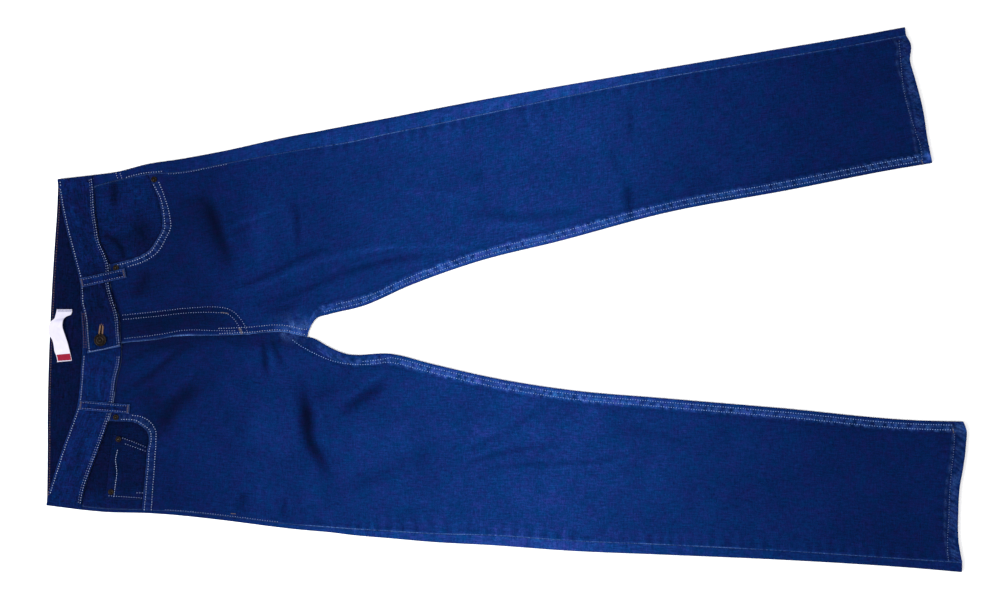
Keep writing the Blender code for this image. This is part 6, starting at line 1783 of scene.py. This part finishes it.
# label ends
sew("grey", "label_strip", in_view([(57.6, 310.2), (71.6, 310.2)]), pitch=1.7, fill=0.85, curved=False, width=0.34)
sew("grey", "label_strip", in_view([(57.6, 311.3), (71.4, 311.3)]), pitch=1.7, fill=0.85, curved=False, width=0.34)
sew("grey", "label_strip", in_view([(57.8, 361.4), (71.2, 360.1)]), pitch=1.9, fill=0.8, curved=False, width=0.2)


# the buttonhole's close stitches, round the eye and down both sides of the slit
def buttonhole():
    outline = [(BUTTON_X + 3.1 * np.cos(a), BUTTON_Y + 3.1 * np.sin(a)) for a in np.linspace(np.radians(108.0), np.radians(432.0), 30)]
    slit = [(BUTTON_X + 1.9, BUTTON_Y + BUTTONHOLE_LENGTH), (BUTTON_X + 1.2, BUTTON_Y + BUTTONHOLE_LENGTH)]
    line = resampled(np.array(outline + slit + outline[:1]), 0.5)
    d = np.gradient(line, axis=0)
    d /= np.hypot(*d.T)[:, None] + 1e-9
    out = np.stack([d[:, 1], -d[:, 0]], axis=1)
    lay_threads("buttonhole", seat_points("waistband_shell", line + out * 0.15), seat_points("waistband_shell", line + out * 2.3), 0.27, 0.35)


buttonhole()


def thread_objects():
    """Each kind of thread as one joined mesh."""
    turn = np.linspace(0.0, 2 * np.pi, 6, endpoint=False)
    rings = np.array([0.10, 0.5, 0.90])
    profile = np.array([0.72, 1.0, 0.72])
    bow = np.array([0.35, 1.0, 0.35])
    looks = {
        "pale": PALE_THREAD, "blue": BLUE_THREAD, "fine": FINE_THREAD, "gold": BAR_THREAD, "tan": TAN_THREAD, "brown": BROWN_THREAD,
        "grey": GREY_THREAD, "buttonhole": GOLD_THREAD,
    }
    for kind, groups in THREADS.items():
        all_points, all_faces, all_cloth, base = [], [], [], 0
        for starts, ends, width, rise, up in groups:
            n = len(starts)
            d = ends - starts
            length = np.linalg.norm(d, axis=1, keepdims=True)
            d = d / length
            normal = np.zeros_like(d)
            normal[:, 2] = up
            across = np.cross(d, normal)
            across /= np.linalg.norm(across, axis=1, keepdims=True)
            normal = np.cross(across, d)
            ring_points = []
            for f, r, b in zip(rings, profile, bow):
                centre = starts + d * length * f + normal * rise * b * 0.75
                for a in turn:
                    ring_points.append(centre + across * width * r * np.cos(a) + normal * width * 0.85 * r * np.sin(a))
            tips = [starts - normal * 0.12, ends - normal * 0.12]
            points = np.stack([tips[0], *ring_points, tips[1]], axis=1)
            k = len(turn)
            shape = [[0, 1 + (j + 1) % k, 1 + j] for j in range(k)]
            for r in range(len(rings) - 1):
                a, b = 1 + r * k, 1 + (r + 1) * k
                shape += [[a + j, a + (j + 1) % k, b + (j + 1) % k, b + j] for j in range(k)]
            last = 1 + (len(rings) - 1) * k
            shape += [[last + j, last + (j + 1) % k, last + k] for j in range(k)]
            per = points.shape[1]
            for m in range(n):
                all_faces += [[v + base + m * per for v in f] for f in shape]
            place = np.concatenate([[0.0], np.repeat(rings, k), [1.0]])
            cloth = np.zeros((n, per, 3))
            cloth[..., 0] = np.concatenate([[0.0], np.tile(turn, len(rings)) / (2 * np.pi), [0.0]])[None, :] * 1000.0
            cloth[..., 1] = place[None, :] * length
            cloth[..., 2] = (np.arange(n)[:, None] + base) * 1.37 * 1000.0
            all_points.append(points.reshape(-1, 3))
            all_cloth.append(cloth.reshape(-1, 3))
            base += n * per
        mesh = make_mesh("threads_" + kind, np.concatenate(all_points), all_faces)
        attribute(mesh, "cloth", np.concatenate(all_cloth) * MM)
        slots = {"gold": "antique_brass", "buttonhole": "antique_brass"}
        add_object("threads_" + kind, mesh, looks[kind])
        print("threads", kind, sum(len(g[0]) for g in groups), len(mesh.polygons))


thread_objects()


# ---- Button and rivets ----
def lathe(name, node, profile, polish, x, y, steps=48):
    """A turned piece from its half profile, top of the axis down to the bottom of the axis."""
    profile = np.array(profile, float)
    turn = np.linspace(0.0, 2 * np.pi, steps, endpoint=False)
    points, rub = [(0.0, 0.0, profile[0, 1])], [polish[0]]
    for (r, h), p in zip(profile[1:-1], polish[1:-1]):
        for a in turn:
            points.append((r * np.cos(a), r * np.sin(a), h))
            rub.append(p)
    points.append((0.0, 0.0, profile[-1, 1]))
    rub.append(polish[-1])
    rings = len(profile) - 2
    faces = [[0, 1 + j, 1 + (j + 1) % steps] for j in range(steps)]
    for r in range(rings - 1):
        a, b = 1 + r * steps, 1 + (r + 1) * steps
        faces += [[a + j, b + j, b + (j + 1) % steps, a + (j + 1) % steps] for j in range(steps)]
    last = 1 + (rings - 1) * steps
    faces += [[last + j, 1 + rings * steps, last + (j + 1) % steps] for j in range(steps)]
    mesh = make_mesh(name, np.array(points) + np.array([x, y, 0.0]), faces)
    attribute(mesh, "wear", rub)
    return add_object(name, mesh, BRASS, [node])


def rounded(profile, polish, count=60):
    """The same profile with more points along it, so that its edges turn softly."""
    profile = np.array(profile, float)
    walked = np.concatenate([[0.0], np.cumsum(np.hypot(*np.diff(profile, axis=0).T))])
    at = np.linspace(0.0, walked[-1], count)
    line = np.stack([np.interp(at, walked, profile[:, k]) for k in (0, 1)], axis=1)
    for _ in range(2):
        line[1:-1] = (line[:-2] + 2 * line[1:-1] + line[2:]) / 4
    line[0, 0] = line[-1, 0] = 0.0
    return line, np.interp(at, walked, polish)


head, foot = 9.6 + 0.45, 6.9 + 0.3
button_profile = [(0.0, head + 2.35), (1.1, head + 2.3), (1.7, head + 1.75), (2.6, head + 1.6), (3.6, head + 1.95), (4.6, head + 1.9), (5.2, head + 1.45),
                  (5.8, head + 1.5), (6.3, head + 2.1), (6.9, head + 2.2), (7.5, head + 1.7), (7.7, head + 0.9), (7.3, head + 0.15), (BUTTON_SHANK, head + 0.05),
                  (BUTTON_SHANK, foot), (0.0, foot)]
button_polish = [0.7, 0.6, 0.0, 0.0, 0.35, 0.3, 0.0, 0.0, 0.35, 0.55, 0.3, 0.0, 0.0, 0.0, 0.0, 0.0]
line, rub = rounded(button_profile, button_polish, 90)
lathe("tack_button", "button", line, rub, BUTTON_X, BUTTON_Y, 64)
for name, (x, y, where) in RIVETS.items():
    piece = {"left": "front_left", "right": "front_right", "coin": "coin_pocket_shell"}[where]
    turn = np.linspace(0.0, 2 * np.pi, 9)
    around = seat_points(piece, np.column_stack([x + 3.4 * np.cos(turn), y + 3.4 * np.sin(turn)]))[:, 2]
    z = float(np.nanmax(np.append(around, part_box(name)[0][2] / MM - 0.8)))
    profile = [(0.0, z + 1.5), (0.9, z + 1.4), (1.3, z + 0.8), (1.9, z + 0.65), (2.7, z + 0.85), (3.3, z + 0.75), (3.8, z + 0.3), (3.8, z - 0.2), (0.0, z - 0.2)]
    line, rub = rounded(profile, [0.9, 0.6, 0.0, 0.0, 0.2, 0.3, 0.1, 0.0, 0.0], 40)
    lathe(name + "_cap", name, line, rub, x, y, 32)


# ---- Floor, light and camera ----
floor_mesh = bpy.data.meshes.new("floor")
floor_mesh.from_pydata([(-14, -14, -0.0004), (14, -14, -0.0004), (14, 14, -0.0004), (-14, 14, -0.0004)], [], [[0, 1, 2, 3]])
floor = bpy.data.objects.new("floor", floor_mesh)
floor_mesh.materials.append(floor_material())
bpy.context.scene.collection.objects.link(floor)

world = bpy.data.worlds.new("studio")
bpy.context.scene.world = world
world.use_nodes = True
world.node_tree.nodes["Background"].inputs[0].default_value = (1.0, 1.0, 1.0, 1.0)
world.node_tree.nodes["Background"].inputs[1].default_value = 1.06


def area_light(name, place, aim, size, power):
    data = bpy.data.lights.new(name, "AREA")
    data.shape = "SQUARE"
    data.size = size
    data.energy = power
    light = bpy.data.objects.new(name, data)
    light.location = place
    light.rotation_euler = (Vector(aim) - Vector(place)).to_track_quat("-Z", "Y").to_euler()
    bpy.context.scene.collection.objects.link(light)


area_light("key", (-2.1, -0.9, 2.3), (0.0, 0.0, 0.0), 1.8, 118.0)
area_light("fill", (1.6, 1.8, 2.6), (0.0, 0.0, 0.0), 2.4, 26.0)

bpy.context.scene.view_settings.view_transform = "Standard"
bpy.context.scene.view_settings.look = "None"

height = 3.6
camera_data = bpy.data.cameras.new("camera")
camera_data.sensor_fit = "HORIZONTAL"
camera_data.sensor_width = 36.0
camera_data.lens = 36.0 * (height - 0.005) / 1.231
camera_data.clip_end = 60.0
camera = bpy.data.objects.new("camera", camera_data)
camera.location = (-0.0080, 0.00025, height)
camera.rotation_euler = (0.0, 0.0, 0.0)
bpy.context.scene.collection.objects.link(camera)
bpy.context.scene.camera = camera
